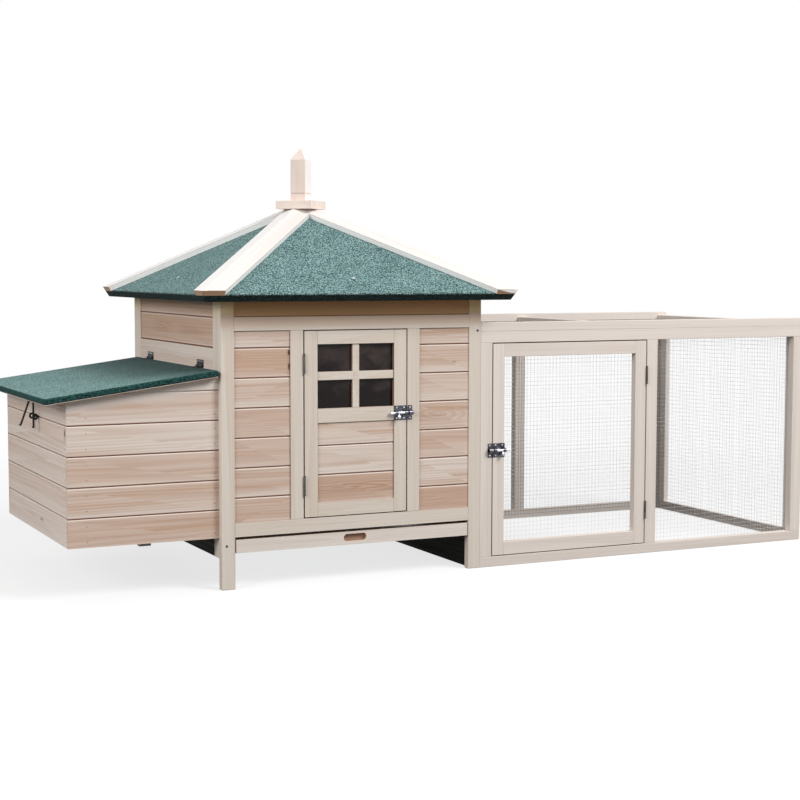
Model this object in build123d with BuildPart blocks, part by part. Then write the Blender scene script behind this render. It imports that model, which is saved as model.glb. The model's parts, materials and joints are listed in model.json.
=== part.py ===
from build123d import *
import math
import os

# Timber chicken coop: a square house under a pyramid roof, a nest box on its left and a wire run on its right.
# Millimetres. X runs along the front, Y to the back, Z up. The origin is on the ground under the coop's middle.

# Overall layout
house_width = 780.0
house_depth = 780.0
run_length = 1156.5
lid_reach = 473.0  # from the house to the outer edge of the nest lid, before its edge is slanted
house_left = -732.0  # puts the origin under the middle of the whole coop
house_right = house_left + house_width
house_middle = house_left + house_width / 2
house_front = -house_depth / 2
house_back = house_depth / 2
run_right = house_right + run_length

# Timber sizes
stick_wide = 38.0
stick_thick = 22.0
run_stick_thick = 25.0
saw_gap = 0.5  # between neighbouring sticks and boards of one wall

# Tongue and groove cladding
board_thick = 10.0
board_cover = 80.0
board_vee = 2.2
tongue_high = 5.0
tongue_thick = 3.6
tongue_slack = 0.3
wall_line_base = 3.5  # height of the lowest board line
board_set_back = 3.5  # the boards' faces stand this far behind the frame's face
housing_deep = 8.0  # depth of the grooves in the frame that hold the boards' ends
housing_slack = 0.3

# House front, heights above the ground
bottom_rail = (140.0, 178.0)
top_rail = (690.0, 727.0)
left_post = (house_left + 197.5, house_left + 235.5)
right_post = (house_left + 547.5, house_left + 585.5)

# House door
hinge_gap = 3.0
door_gap = 2.5
door_thick = 21.5
door_stile = 38.5
door_left = left_post[1] + hinge_gap
door_right = right_post[0] - door_gap
door_low = bottom_rail[1] + door_gap
door_high = top_rail[0] - door_gap
door_mid_rail = (437.0, 476.0)
door_bottom_rail = (door_low, door_low + door_stile)
door_top_rail = (651.0, door_high)
door_line_base = 213.5
muntin_wide = 20.0
muntin_back = 3.0  # the window bars stand this far behind the door's face
window_bar = (553.0, 576.0)
pane_set_back = 12.0
pane_thick = 3.0

# Stops: strips fixed behind the frame, which the closed doors rest against
stop_wide = 25.0
stop_thick = 10.0
stop_lap = 8.0  # how far they reach behind a door
stop_slack = 0.3

# Roof
roof_half = 460.0
eave_height = 785.0
apex_height = 1031.0
roof_thick = 18.5
felt_thick = 3.0
strip_wide = 44.0
strip_thick = 15.0
strip_overrun = 30.0  # length past the hip that the mitre cut removes
plate_size = 112.0
plate_low = 1028.0
plate_thick = 23.5
finial_size = 46.5
finial_groove = (1071.5, 1074.5)
finial_groove_deep = 1.5
finial_shoulder = 1171.0
finial_top = 1202.0
finial_tip_half = 3.0

# Sliding tray, which is the floor of the house
tray_high = (97.0, 133.0)
tray_side_gap = 3.0
tray_slack = 0.2
tray_front_thick = 20.0
pan_sheet = 1.2
pan_wall = 33.0
pan_inset = 6.0
runner_wide = 28.0
pull_wide = 69.0
pull_high = 20.0
pull_deep = 12.0
pull_middle = house_left + 388.5
pull_height = 117.0

# Nest box
nest_out = 408.0
nest_front = house_front + 18.0
nest_back = house_front + 702.0
nest_low = 138.5
nest_line_base = 133.0
nest_floor_thick = 12.0
nest_batten = 20.0
nest_batten_high = 350.0
nest_divider_high = 280.0
nest_rail = (579.0, 643.0)

# Nest lid
lid_gap = 6.0
lid_front = house_front - 10.0
lid_back = house_front + 730.0
lid_inner_height = 588.0
lid_outer_height = 527.0
lid_thick = 17.0
lid_felt = 2.5
lid_corner = 12.0
lid_edge_slant = 4.0
lid_seat_gap = 0.4

# Way through from the house to the run, with its sliding door
hatch = (house_front + 290.0, house_front + 490.0)
hatch_low_line = 163.5
hatch_high_line = 483.5
hatch_door_thick = 11.0
hatch_lap = 10.0
hatch_lip_high = 7.5
guide_high = 22.0
guide_lip = 9.7
hatch_finger_hole = 14.0
hatch_slack = 0.3

# Perch
perch_size = 38.0
perch_round = 8.0
perch_middle = house_left + 665.0
perch_height = 489.0

# Run, heights above the ground
run_low_rail = (0.0, 29.0)
run_high_rail = (645.0, 678.0)
run_top = 703.0
run_mid_post = house_left + 1347.0
run_back_post = house_left + 1328.0  # the middle bar across the top is in line with it
run_end_thick = 17.0
run_bar_thick = 14.0

# Run door
run_door_left = house_right + stick_wide + door_gap
run_door_right = run_mid_post - hinge_gap
run_door_low = run_low_rail[1] + door_gap
run_door_high = run_high_rail[0] - door_gap

# Wire mesh, drawn at eight times its true half inch pitch
mesh_pitch = 101.6
mesh_wire = 1.6
mesh_thick = 1.2
mesh_lap = 15.0
mesh_clear = 1.0

# Sides of the small rounds that repeat: hinge knuckles, pin heads and wire rings
small_round_sides = 12

# Butt hinges
hinge_long = 54.0
hinge_leaf = 1.2
hinge_leaf_wide = 16.0
hinge_knuckle = 2.8
hinge_pin = 1.5
hinge_pin_head = 2.4
hinge_pin_head_thick = 1.2
hinge_slack = 0.05
hinge_side_gap = 0.2
house_hinge_lows = (240.0, 572.0)
run_hinge_lows = (105.0, 512.0)
lid_hinge_middles = (house_front + 163.0, house_front + 616.0)
lid_leaf_wide = 14.0
wall_leaf_high = 14.0

# Barrel bolts
bolt_rod = 4.0
bolt_stand = 7.5  # the rod's axis in front of the door's face
bolt_plate_start = 0.5
bolt_plate_long = 38.0
bolt_plate_high = 40.0
bolt_plate_thick = 1.5
bolt_guide_long = 8.0
bolt_guide_round = 6.5
bolt_slack = 0.06
bolt_rod_long = 52.0
bolt_arm = 2.2
bolt_arm_long = 9.0
bolt_arm_tilt = 60.0
bolt_knob = 4.5
bolt_knob_long = 6.5
bolt_knob_end = 1.5
bolt_arm_back = 27.5  # the arm stands this far behind the rod's nose
keeper_long = 12.5
keeper_gap = 4.0
keeper_slack = 0.5
house_bolt_height = 456.5
run_bolt_height = 337.0

# Wire hooks that hang under the nest lid
hook_wire = 2.0
hook_eye = 6.0
hook_loop = 6.0
hook_drop = 66.0
hook_bend = 5.0
hook_tip = 9.0
hook_set_in = 44.0
hook_eye_stem = 4.0
hook_slack = 1.3
straight_hook_y = house_front + 300.0
leaning_hook_y = house_front + 335.0
hook_lean = 20.0
wall_eye_height = 455.0
wall_eye_aside = 14.0

# Worked-out roof geometry
roof_slope = math.atan2(apex_height - eave_height, roof_half)
slope_cos = math.cos(roof_slope)
slope_sin = math.sin(roof_slope)
slope_long = roof_half / slope_cos
hip_spread = math.hypot(1.0, slope_cos)
under_apex = apex_height - roof_thick / slope_cos
wall_reach = 900.0  # taller than any wall, so the roof cuts every wall top

# Worked-out lid geometry
lid_slope = math.atan2(lid_inner_height - lid_outer_height, lid_reach - lid_gap)
lid_long = (lid_reach - lid_gap) / math.cos(lid_slope)
lid_middle = (lid_front + lid_back) / 2
lid_plane = Plane(
    origin=(house_left - lid_gap, lid_middle, lid_inner_height),
    x_dir=(-math.cos(lid_slope), 0, -math.sin(lid_slope)),
    z_dir=(-math.sin(lid_slope), 0, math.cos(lid_slope)),
)


def across_front(depth):
    return Plane.XZ.offset(-depth)


def across_side(offset_x):
    return Plane.YZ.offset(offset_x)


def bar(across, up):
    with Locations(((across[0] + across[1]) / 2, (up[0] + up[1]) / 2)):
        Rectangle(across[1] - across[0], up[1] - up[0])


def grown(span, reach):
    return (span[0] - reach, span[1] + reach)


# Blocks that cut grooves into a frame, one round each opening, for the boards or the pane that fill it
def housings(plane, thick, openings):
    with BuildPart() as blocks:
        with BuildSketch(plane):
            for across, up in openings:
                bar(grown(across, housing_deep), grown(up, housing_deep))
        extrude(amount=thick + 2 * housing_slack)
    return blocks.part


def lines_between(first, last):
    count = round((last - first) / board_cover) + 1
    return [first + board_cover * number for number in range(count)]


def wall_line(course):
    return wall_line_base + board_cover * course


# Section of one cladding board: local X goes in from its outer face, local Y up from its lower edge
board_high = board_cover - saw_gap
tongue_start = (board_thick - tongue_thick) / 2
tongue_end = tongue_start + tongue_thick
groove_high = tongue_high + saw_gap
with BuildSketch() as board:
    with BuildLine():
        Polyline(
            (board_vee, 0),
            (0, board_vee),
            (0, board_high - board_vee),
            (board_vee, board_high),
            (tongue_start, board_high),
            (tongue_start, board_high + tongue_high),
            (tongue_end, board_high + tongue_high),
            (tongue_end, board_high),
            (board_thick, board_high),
            (board_thick, 0),
            (tongue_end + tongue_slack, 0),
            (tongue_end + tongue_slack, groove_high),
            (tongue_start - tongue_slack, groove_high),
            (tongue_start - tongue_slack, 0),
            close=True,
        )
    make_face()


def courses(start_x, start_y, inward, lines):
    section = Plane(
        origin=(start_x, start_y, 0),
        x_dir=inward,
        z_dir=Vector(*inward).cross(Vector(0, 0, 1)),
    )
    with BuildSketch(section) as stack:
        with Locations(*[(0, line) for line in lines]):
            add(board.sketch)
    return stack.sketch


# Space under the roof, which cuts the tops of the walls to the slope
with BuildPart() as under_roof:
    with BuildSketch(Plane((house_middle, 0, 0))):
        Rectangle(2 * under_apex * slope_cos / slope_sin, 2 * under_apex * slope_cos / slope_sin)
    extrude(amount=wall_reach, taper=90 - math.degrees(roof_slope))

# Openings of the front and back frames, with the grooves that hold their boards
between_legs = (house_left + stick_wide, house_right - stick_wide)
between_rails = (bottom_rail[1], top_rail[0])
front_columns = ((between_legs[0], left_post[0]), (right_post[1], between_legs[1]))
eave_opening = (between_legs, (top_rail[1], wall_reach))
front_face = house_front + board_set_back
back_face = house_back - board_set_back
front_housings = housings(
    across_front(front_face + board_thick + housing_slack),
    board_thick,
    [(column, between_rails) for column in front_columns] + [eave_opening],
)
back_housings = housings(
    across_front(back_face + housing_slack),
    board_thick,
    [(between_legs, between_rails), eave_opening],
)

# Legs
with BuildPart() as legs:
    with BuildSketch():
        for across in ((house_left, house_left + stick_wide), (house_right - stick_wide, house_right)):
            bar(across, (house_front, house_front + stick_thick))
            bar(across, (house_back - stick_thick, house_back))
    extrude(amount=wall_reach)
    add(under_roof.part, mode=Mode.INTERSECT)
    add(front_housings, mode=Mode.SUBTRACT)
    add(back_housings, mode=Mode.SUBTRACT)

# House front and back
front_inner = house_front + stick_thick
back_inner = house_back - stick_thick
with BuildPart() as house_rails:
    for depth in (front_inner, house_back):
        with BuildSketch(across_front(depth)):
            bar(between_legs, bottom_rail)
            bar(between_legs, top_rail)
        extrude(amount=stick_thick)
    add(front_housings, mode=Mode.SUBTRACT)
    add(back_housings, mode=Mode.SUBTRACT)

with BuildPart() as front_door_posts:
    with BuildSketch(across_front(front_inner)):
        bar(left_post, between_rails)
        bar(right_post, between_rails)
    extrude(amount=stick_thick)
    add(front_housings, mode=Mode.SUBTRACT)

board_reach = housing_deep - saw_gap
rail_lines = lines_between(wall_line(2), wall_line(8))
eave_line = wall_line(9)


# Courses that fill a span of the front (inward 1) or of the back (inward -1) and run into its grooves
def fill(span, face, inward, lines):
    low, high = grown(span, board_reach)
    extrude(courses(low if inward > 0 else high, face, (0, inward, 0), lines), amount=high - low)


with BuildPart() as front_boards:
    for column in front_columns:
        fill(column, front_face, 1, rail_lines)
    with BuildSketch(across_front(house_back)):
        bar((house_left, house_right), grown(between_rails, board_reach))
    extrude(amount=house_depth, mode=Mode.INTERSECT)
    fill(between_legs, front_face, 1, [eave_line])
    add(under_roof.part, mode=Mode.INTERSECT)

with BuildPart() as back_boards:
    fill(between_legs, back_face, -1, rail_lines)
    with BuildSketch(across_front(house_back)):
        bar((house_left, house_right), grown(between_rails, board_reach))
    extrude(amount=house_depth, mode=Mode.INTERSECT)
    fill(between_legs, back_face, -1, [eave_line])
    add(under_roof.part, mode=Mode.INTERSECT)

# House sides: posts stand behind the front and back legs
front_stile = (front_inner, front_inner + stick_wide)
back_stile = (back_inner - stick_wide, back_inner)
between_stiles = (front_stile[1], back_stile[0])
nest_back_post = (back_stile[0] - saw_gap - stick_wide, back_stile[0] - saw_gap)
nest_mid_post_middle = (front_stile[1] + nest_back_post[0]) / 2
nest_mid_post = (nest_mid_post_middle - stick_wide / 2, nest_mid_post_middle + stick_wide / 2)
left_low_rail = (wall_line(1), wall_line(1) + stick_wide)
right_face = house_right - stick_thick
left_face = house_left + board_set_back
# The upper boards on the left stand on the nest rail, so only the posts are grooved
left_housings = housings(
    across_side(left_face - housing_slack),
    board_thick,
    [(between_stiles, (nest_rail[1] + housing_deep, wall_reach))],
)
with BuildPart() as side_wall_posts:
    with BuildSketch(across_side(house_left)):
        bar(front_stile, (wall_line(1), wall_reach))
        bar(back_stile, (wall_line(1), wall_reach))
        bar(nest_mid_post, (left_low_rail[1], nest_rail[0]))
        bar(nest_back_post, (left_low_rail[1], nest_rail[0]))
    extrude(amount=stick_thick)
    with BuildSketch(across_side(right_face)):
        bar(front_stile, (0, wall_reach))
        bar(back_stile, (0, wall_reach))
    extrude(amount=stick_thick)
    add(under_roof.part, mode=Mode.INTERSECT)
    add(left_housings, mode=Mode.SUBTRACT)

with BuildPart() as side_wall_rails:
    with BuildSketch(across_side(house_left)):
        bar(between_stiles, left_low_rail)
        bar(between_stiles, nest_rail)
    extrude(amount=stick_thick)
    with BuildSketch(across_side(right_face)):
        bar(between_stiles, (0, stick_wide))
    extrude(amount=stick_thick)

side_front_end = front_inner + saw_gap
side_back_end = back_inner - saw_gap
with BuildPart() as left_wall_boards:
    left_front_end, left_back_end = grown(between_stiles, board_reach)
    upper_courses = courses(left_face, left_back_end, (1, 0, 0), lines_between(wall_line(8), eave_line))
    extrude(upper_courses, amount=left_back_end - left_front_end)
    add(under_roof.part, mode=Mode.INTERSECT)
    lowest_course = courses(house_left + stick_thick, side_back_end, (1, 0, 0), [wall_line(1)])
    extrude(lowest_course, amount=side_back_end - side_front_end)
    # The tongue is planed off under the nest openings
    with BuildSketch(across_side(house_left)):
        bar((side_front_end, side_back_end), (wall_line(2) - saw_gap, wall_line(2) + tongue_high))
    extrude(amount=2 * stick_thick, mode=Mode.SUBTRACT)

hatch_lines = lines_between(hatch_low_line, hatch_high_line - board_cover)
full_lines = [line for line in lines_between(wall_line(0), wall_line(10)) if line not in hatch_lines]
with BuildPart() as right_wall_boards:
    extrude(courses(right_face, side_front_end, (-1, 0, 0), full_lines), amount=side_back_end - side_front_end)
    extrude(courses(right_face, side_front_end, (-1, 0, 0), hatch_lines), amount=hatch[0] - side_front_end)
    extrude(courses(right_face, hatch[1], (-1, 0, 0), hatch_lines), amount=side_back_end - hatch[1])
    add(under_roof.part, mode=Mode.INTERSECT)
    # The tongue is planed off at the hatch's sill
    with BuildSketch(across_side(right_face)):
        bar(hatch, (hatch_low_line - saw_gap, hatch_low_line + tongue_high))
    extrude(amount=-2 * board_thick, mode=Mode.SUBTRACT)

# Hatch guides: two rabbeted rails, each with a lip that holds the sliding door against the wall
with BuildPart() as hatch_guides:
    with BuildSketch(across_front(between_stiles[1])):
        bar((right_face, house_right), (hatch_low_line - guide_high, hatch_low_line - hatch_lip_high))
        bar((house_right - guide_lip, house_right), (hatch_low_line - guide_high, hatch_low_line))
        bar((right_face, house_right), (hatch_high_line + hatch_lip_high, hatch_high_line + guide_high))
        bar((house_right - guide_lip, house_right), (hatch_high_line, hatch_high_line + guide_high))
    extrude(amount=between_stiles[1] - between_stiles[0])

# Hatch door, slid back to leave the way open
hatch_door_front = hatch[1] + saw_gap
hatch_door_wide = hatch[1] - hatch[0] + 2 * hatch_lap
hatch_door_low = hatch_low_line - hatch_lip_high + hatch_slack
hatch_door_high = hatch_high_line + hatch_lip_high - hatch_slack
with BuildPart() as hatch_door:
    with BuildSketch(across_side(right_face + hatch_slack)):
        bar((hatch_door_front, hatch_door_front + hatch_door_wide), (hatch_door_low, hatch_door_high))
        with Locations((hatch_door_front + hatch_door_wide / 2, (hatch_door_low + hatch_door_high) / 2)):
            Circle(hatch_finger_hole, mode=Mode.SUBTRACT)
    extrude(amount=hatch_door_thick)

# Perch, screwed end on between the front and back cladding
with BuildPart() as perch:
    with BuildSketch(across_front(back_face - board_thick)):
        with Locations((perch_middle, perch_height)):
            RectangleRounded(perch_size, perch_size, perch_round)
    extrude(amount=back_face - front_face - 2 * board_thick)

# Tray runners on the side walls
inside_left = house_left + stick_thick + board_thick
inside_right = house_right - stick_thick - board_thick
runner_top = tray_high[0] - tray_slack
with BuildPart() as tray_runners:
    with BuildSketch(across_front(side_back_end)):
        bar((inside_left, inside_left + runner_wide), (wall_line(1), runner_top))
        bar((inside_right - runner_wide, inside_right), (wall_line(1), runner_top))
    extrude(amount=side_back_end - front_stile[1])

# Tray front with its finger pull
tray_left = between_legs[0] + tray_side_gap
tray_right = between_legs[1] - tray_side_gap
tray_back_of_front = house_front + tray_front_thick
with BuildPart() as tray_front:
    with BuildSketch(across_front(tray_back_of_front)):
        bar((tray_left, tray_right), tray_high)
    extrude(amount=tray_front_thick)
    with BuildSketch(across_front(house_front)):
        with Locations((pull_middle, pull_height)):
            SlotOverall(pull_wide, pull_high)
    extrude(amount=-pull_deep, mode=Mode.SUBTRACT)

# Tray pan, folded from galvanised sheet
pan_left = tray_left + pan_inset
pan_right = tray_right - pan_inset
pan_back = side_back_end - pan_inset
with BuildPart() as tray_pan:
    with BuildSketch(Plane.XY.offset(tray_high[0])):
        bar((pan_left, pan_right), (tray_back_of_front, pan_back))
    extrude(amount=pan_wall)
    offset(amount=-pan_sheet, openings=tray_pan.faces().sort_by(Axis.Z)[-1])

# Roof panels: one slope is drawn about the roof's axis, mitred on its hips, then turned to the four sides


def slope_point(along, below):
    return (below * slope_sin - along * slope_cos, apex_height - along * slope_sin - below * slope_cos)


right_hip = Plane((0, -saw_gap / 2, 0), z_dir=(1, 1, 0))
left_hip = Plane((0, -saw_gap / 2, 0), z_dir=(-1, 1, 0))
under_plate = Plane.XY.offset(plate_low)

with BuildPart() as one_panel:
    with BuildSketch(Plane.YZ):
        with BuildLine():
            Polyline(
                slope_point(0, felt_thick),
                slope_point(slope_long - felt_thick, felt_thick),
                slope_point(slope_long - felt_thick, roof_thick),
                slope_point(0, roof_thick),
                close=True,
            )
        make_face()
    extrude(amount=roof_half, both=True)
    split(bisect_by=right_hip, keep=Keep.BOTTOM)
    split(bisect_by=left_hip, keep=Keep.BOTTOM)
    split(bisect_by=under_plate, keep=Keep.BOTTOM)

with BuildPart() as one_felt:
    with BuildSketch(Plane.YZ):
        with BuildLine():
            Polyline(
                slope_point(0, 0),
                slope_point(slope_long, 0),
                slope_point(slope_long, roof_thick),
                slope_point(slope_long - felt_thick, roof_thick),
                slope_point(slope_long - felt_thick, felt_thick),
                slope_point(0, felt_thick),
                close=True,
            )
        make_face()
    extrude(amount=roof_half, both=True)
    split(bisect_by=right_hip, keep=Keep.BOTTOM)
    split(bisect_by=left_hip, keep=Keep.BOTTOM)
    split(bisect_by=under_plate, keep=Keep.BOTTOM)


# Hip strips: the line at an offset from the hip, where it meets the eave and the panel's centre line
def strip_at_eave(offset_in):
    return (slope_long * slope_cos - offset_in * hip_spread, -slope_long)


def strip_at_centre(offset_in):
    return (0, -offset_in * hip_spread / slope_cos)


front_slope = Plane((0, 0, apex_height), x_dir=(1, 0, 0), z_dir=(0, -slope_sin, slope_cos))
with BuildPart() as one_strip:
    with BuildSketch(front_slope):
        with BuildLine():
            Polyline(
                strip_at_eave(strip_wide),
                strip_at_eave(-strip_overrun),
                strip_at_centre(-strip_overrun),
                strip_at_centre(strip_wide),
                close=True,
            )
        make_face()
    extrude(amount=strip_thick)
    split(bisect_by=right_hip, keep=Keep.BOTTOM)
    split(bisect_by=Plane.YZ.offset(saw_gap / 2), keep=Keep.TOP)
    split(bisect_by=under_plate, keep=Keep.BOTTOM)
    mirror(about=Plane.YZ)

quarter_turns = [90 * number for number in range(4)]
with BuildPart() as roof_panels:
    with Locations((house_middle, 0, 0)):
        for turn in quarter_turns:
            add(one_panel.part, rotation=(0, 0, turn))

with BuildPart() as roof_felts:
    with Locations((house_middle, 0, 0)):
        for turn in quarter_turns:
            add(one_felt.part, rotation=(0, 0, turn))

with BuildPart() as hip_strips:
    with Locations((house_middle, 0, 0)):
        for turn in quarter_turns:
            add(one_strip.part, rotation=(0, 0, turn))

# Roof plate and finial, both turned corner on
plate_top = plate_low + plate_thick
with BuildPart() as roof_plate:
    with BuildSketch(Plane((house_middle, 0, plate_low))):
        Rectangle(plate_size, plate_size, rotation=45)
    extrude(amount=plate_thick)

tip_taper = math.degrees(math.atan2(finial_size / 2 - finial_tip_half, finial_top - finial_shoulder))
with BuildPart() as finial:
    with BuildSketch(Plane((house_middle, 0, plate_top))):
        Rectangle(finial_size, finial_size, rotation=45)
    extrude(amount=finial_shoulder - plate_top)
    with BuildSketch(Plane((house_middle, 0, finial_shoulder))):
        Rectangle(finial_size, finial_size, rotation=45)
    extrude(amount=finial_top - finial_shoulder, taper=tip_taper)
    with BuildSketch(Plane((house_middle, 0, finial_groove[0]))):
        Rectangle(2 * finial_size, 2 * finial_size, rotation=45)
        Rectangle(
            finial_size - 2 * finial_groove_deep,
            finial_size - 2 * finial_groove_deep,
            rotation=45,
            mode=Mode.SUBTRACT,
        )
    extrude(amount=finial_groove[1] - finial_groove[0], mode=Mode.SUBTRACT)


# Nest box: the space under the lid cuts the tops of its walls to the lid's slope
def lid_under_height(out):
    return lid_inner_height - (out - lid_gap) * math.tan(lid_slope) - lid_thick / math.cos(lid_slope)


nest_left = house_left - nest_out
with BuildPart() as under_lid:
    with BuildSketch(across_front(nest_back)):
        with BuildLine():
            Polyline(
                (nest_left, nest_low),
                (house_left, nest_low),
                (house_left, lid_under_height(0) - lid_seat_gap),
                (nest_left, lid_under_height(nest_out) - lid_seat_gap),
                close=True,
            )
        make_face()
    extrude(amount=nest_back - nest_front)

nest_lines = lines_between(nest_line_base, nest_line_base + 5 * board_cover)
with BuildPart() as nest_side_boards:
    extrude(courses(nest_left, nest_front, (0, 1, 0), nest_lines), amount=nest_out)
    extrude(courses(house_left, nest_back, (0, -1, 0), nest_lines), amount=nest_out)
    add(under_lid.part, mode=Mode.INTERSECT)

nest_inside = (nest_front + board_thick, nest_back - board_thick)
with BuildPart() as nest_end_boards:
    nest_end_courses = courses(nest_left, nest_inside[1], (1, 0, 0), nest_lines)
    extrude(nest_end_courses, amount=nest_inside[1] - nest_inside[0])
    add(under_lid.part, mode=Mode.INTERSECT)

nest_floor_top = nest_low + nest_floor_thick
with BuildPart() as nest_floor:
    with BuildSketch(Plane.XY.offset(nest_low)):
        bar((nest_left + board_thick, house_left), nest_inside)
    extrude(amount=nest_floor_thick)

with BuildPart() as nest_battens:
    with BuildSketch(Plane.XY.offset(nest_floor_top)):
        for start in (nest_left + board_thick, house_left - nest_batten):
            bar((start, start + nest_batten), (nest_inside[0], nest_inside[0] + nest_batten))
            bar((start, start + nest_batten), (nest_inside[1] - nest_batten, nest_inside[1]))
    extrude(amount=nest_batten_high)

nest_divider_span = (nest_mid_post_middle - board_thick / 2, nest_mid_post_middle + board_thick / 2)
with BuildPart() as nest_divider:
    with BuildSketch(Plane.XY.offset(nest_floor_top)):
        bar((nest_left + board_thick, house_left), nest_divider_span)
    extrude(amount=nest_divider_high)

# Nest lid: a board with felt folded over its top and edges
with BuildPart() as nest_lid_board:
    with BuildSketch(lid_plane.offset(-lid_thick)):
        with Locations((lid_long / 2, 0)):
            RectangleRounded(
                lid_long - 2 * lid_felt, lid_back - lid_front - 2 * lid_felt, lid_corner - lid_felt
            )
    extrude(amount=lid_thick - lid_felt)

with BuildPart() as nest_lid_felt:
    with BuildSketch(lid_plane.offset(-lid_thick)):
        with Locations((lid_long / 2, 0)):
            RectangleRounded(lid_long, lid_back - lid_front, lid_corner)
    extrude(amount=lid_thick)
    upper_face = nest_lid_felt.faces().sort_by(Axis.Z)[-1]
    chamfer(upper_face.edges(), length=lid_edge_slant)
    add(nest_lid_board.part, mode=Mode.SUBTRACT)

# House door: its frame is grooved for the boards below and for the pane above
door_inside = (door_left + door_stile, door_right - door_stile)
panel_up = (door_bottom_rail[1], door_mid_rail[0])
window_up = (door_mid_rail[1], door_top_rail[0])
pane_front = house_front + pane_set_back
panel_housing = housings(
    across_front(front_face + board_thick + housing_slack), board_thick, [(door_inside, panel_up)]
)
window_housing = housings(
    across_front(pane_front + pane_thick + housing_slack), pane_thick, [(door_inside, window_up)]
)
with BuildPart() as house_door_stiles:
    with BuildSketch(across_front(house_front + door_thick)):
        bar((door_left, door_left + door_stile), (door_low, door_high))
        bar((door_right - door_stile, door_right), (door_low, door_high))
    extrude(amount=door_thick)
    add(panel_housing, mode=Mode.SUBTRACT)
    add(window_housing, mode=Mode.SUBTRACT)

with BuildPart() as house_door_rails:
    with BuildSketch(across_front(house_front + door_thick)):
        bar(door_inside, door_bottom_rail)
        bar(door_inside, door_mid_rail)
        bar(door_inside, door_top_rail)
    extrude(amount=door_thick)
    add(panel_housing, mode=Mode.SUBTRACT)
    add(window_housing, mode=Mode.SUBTRACT)

window_middle = (door_inside[0] + door_inside[1]) / 2
upright = (window_middle - muntin_wide / 2, window_middle + muntin_wide / 2)
with BuildPart() as house_door_muntins:
    with BuildSketch(across_front(pane_front)):
        bar(upright, window_up)
        bar(door_inside, window_bar)
    extrude(amount=pane_set_back - muntin_back)

door_board_lines = lines_between(door_line_base, door_line_base + 2 * board_cover)
with BuildPart() as house_door_boards:
    fill(door_inside, front_face, 1, door_board_lines)
    with BuildSketch(across_front(house_front + door_thick)):
        bar(grown(door_inside, board_reach), grown(panel_up, board_reach))
    extrude(amount=door_thick, mode=Mode.INTERSECT)

with BuildPart() as house_door_pane:
    with BuildSketch(across_front(pane_front + pane_thick)):
        bar(grown(door_inside, board_reach), grown(window_up, board_reach))
    extrude(amount=pane_thick)

# Run frame
run_inner_front = house_front + run_stick_thick
run_inner_back = house_back - run_stick_thick
run_inner_right = run_right - run_end_thick
run_span = (house_right, run_right)
run_post_span = (run_low_rail[1], run_high_rail[0])
with BuildPart() as run_side_posts:
    with BuildSketch(across_front(run_inner_front)):
        for start in (house_right, run_mid_post, run_right - stick_wide):
            bar((start, start + stick_wide), run_post_span)
    extrude(amount=run_stick_thick)
    with BuildSketch(across_front(house_back)):
        for start in (house_right, run_back_post, run_right - stick_wide):
            bar((start, start + stick_wide), run_post_span)
    extrude(amount=run_stick_thick)

with BuildPart() as run_side_rails:
    for depth in (run_inner_front, house_back):
        with BuildSketch(across_front(depth)):
            bar(run_span, run_low_rail)
            bar(run_span, run_high_rail)
        extrude(amount=run_stick_thick)

run_end_span = (run_inner_front, run_inner_back)
with BuildPart() as run_end_posts:
    with BuildSketch(across_side(run_inner_right)):
        bar((run_end_span[0], run_end_span[0] + stick_wide), run_post_span)
        bar((run_end_span[1] - stick_wide, run_end_span[1]), run_post_span)
    extrude(amount=run_end_thick)

with BuildPart() as run_end_rails:
    with BuildSketch(across_side(run_inner_right)):
        bar(run_end_span, run_low_rail)
        bar(run_end_span, run_high_rail)
    extrude(amount=run_end_thick)

run_top_inside = (house_front + stick_wide, house_back - stick_wide)
with BuildPart() as run_top_rails:
    with BuildSketch(Plane.XY.offset(run_high_rail[1])):
        bar(run_span, (house_front, run_top_inside[0]))
        bar(run_span, (run_top_inside[1], house_back))
    extrude(amount=run_top - run_high_rail[1])

with BuildPart() as run_top_bars:
    with BuildSketch(Plane.XY.offset(run_high_rail[1])):
        for start in (house_right, run_back_post, run_right - stick_wide):
            bar((start, start + stick_wide), run_top_inside)
    extrude(amount=run_bar_thick)


# Wire mesh: one sheet with its gaps, drawn in the sketch plane's own two directions
def mesh_sheet(plane, across, up):
    gaps_across = round((across[1] - across[0]) / mesh_pitch)
    gaps_up = round((up[1] - up[0]) / mesh_pitch)
    pitch_across = (across[1] - across[0] - mesh_wire) / gaps_across
    pitch_up = (up[1] - up[0] - mesh_wire) / gaps_up
    with BuildSketch(plane) as sheet:
        bar(across, up)
        with Locations(((across[0] + across[1]) / 2, (up[0] + up[1]) / 2)):
            with GridLocations(pitch_across, pitch_up, gaps_across, gaps_up):
                Rectangle(pitch_across - mesh_wire, pitch_up - mesh_wire, mode=Mode.SUBTRACT)
    return sheet.sketch


mesh_up = (run_low_rail[1] - mesh_lap, run_high_rail[0] + mesh_lap)
mesh_right = run_inner_right - mesh_clear
with BuildPart() as run_front_mesh:
    front_sheet = (run_mid_post + stick_wide - mesh_lap, mesh_right)
    extrude(mesh_sheet(across_front(run_inner_front + mesh_thick), front_sheet, mesh_up), amount=mesh_thick)

with BuildPart() as run_back_mesh:
    for sheet in (
        (house_right + stick_wide - mesh_lap, run_back_post + mesh_lap),
        (run_back_post + stick_wide - mesh_lap, mesh_right),
    ):
        extrude(mesh_sheet(across_front(run_inner_back), sheet, mesh_up), amount=mesh_thick)

inside_mesh = (run_inner_front + mesh_thick + mesh_clear, run_inner_back - mesh_thick - mesh_clear)
with BuildPart() as run_end_mesh:
    extrude(mesh_sheet(across_side(run_inner_right - mesh_thick), inside_mesh, mesh_up), amount=mesh_thick)

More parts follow.
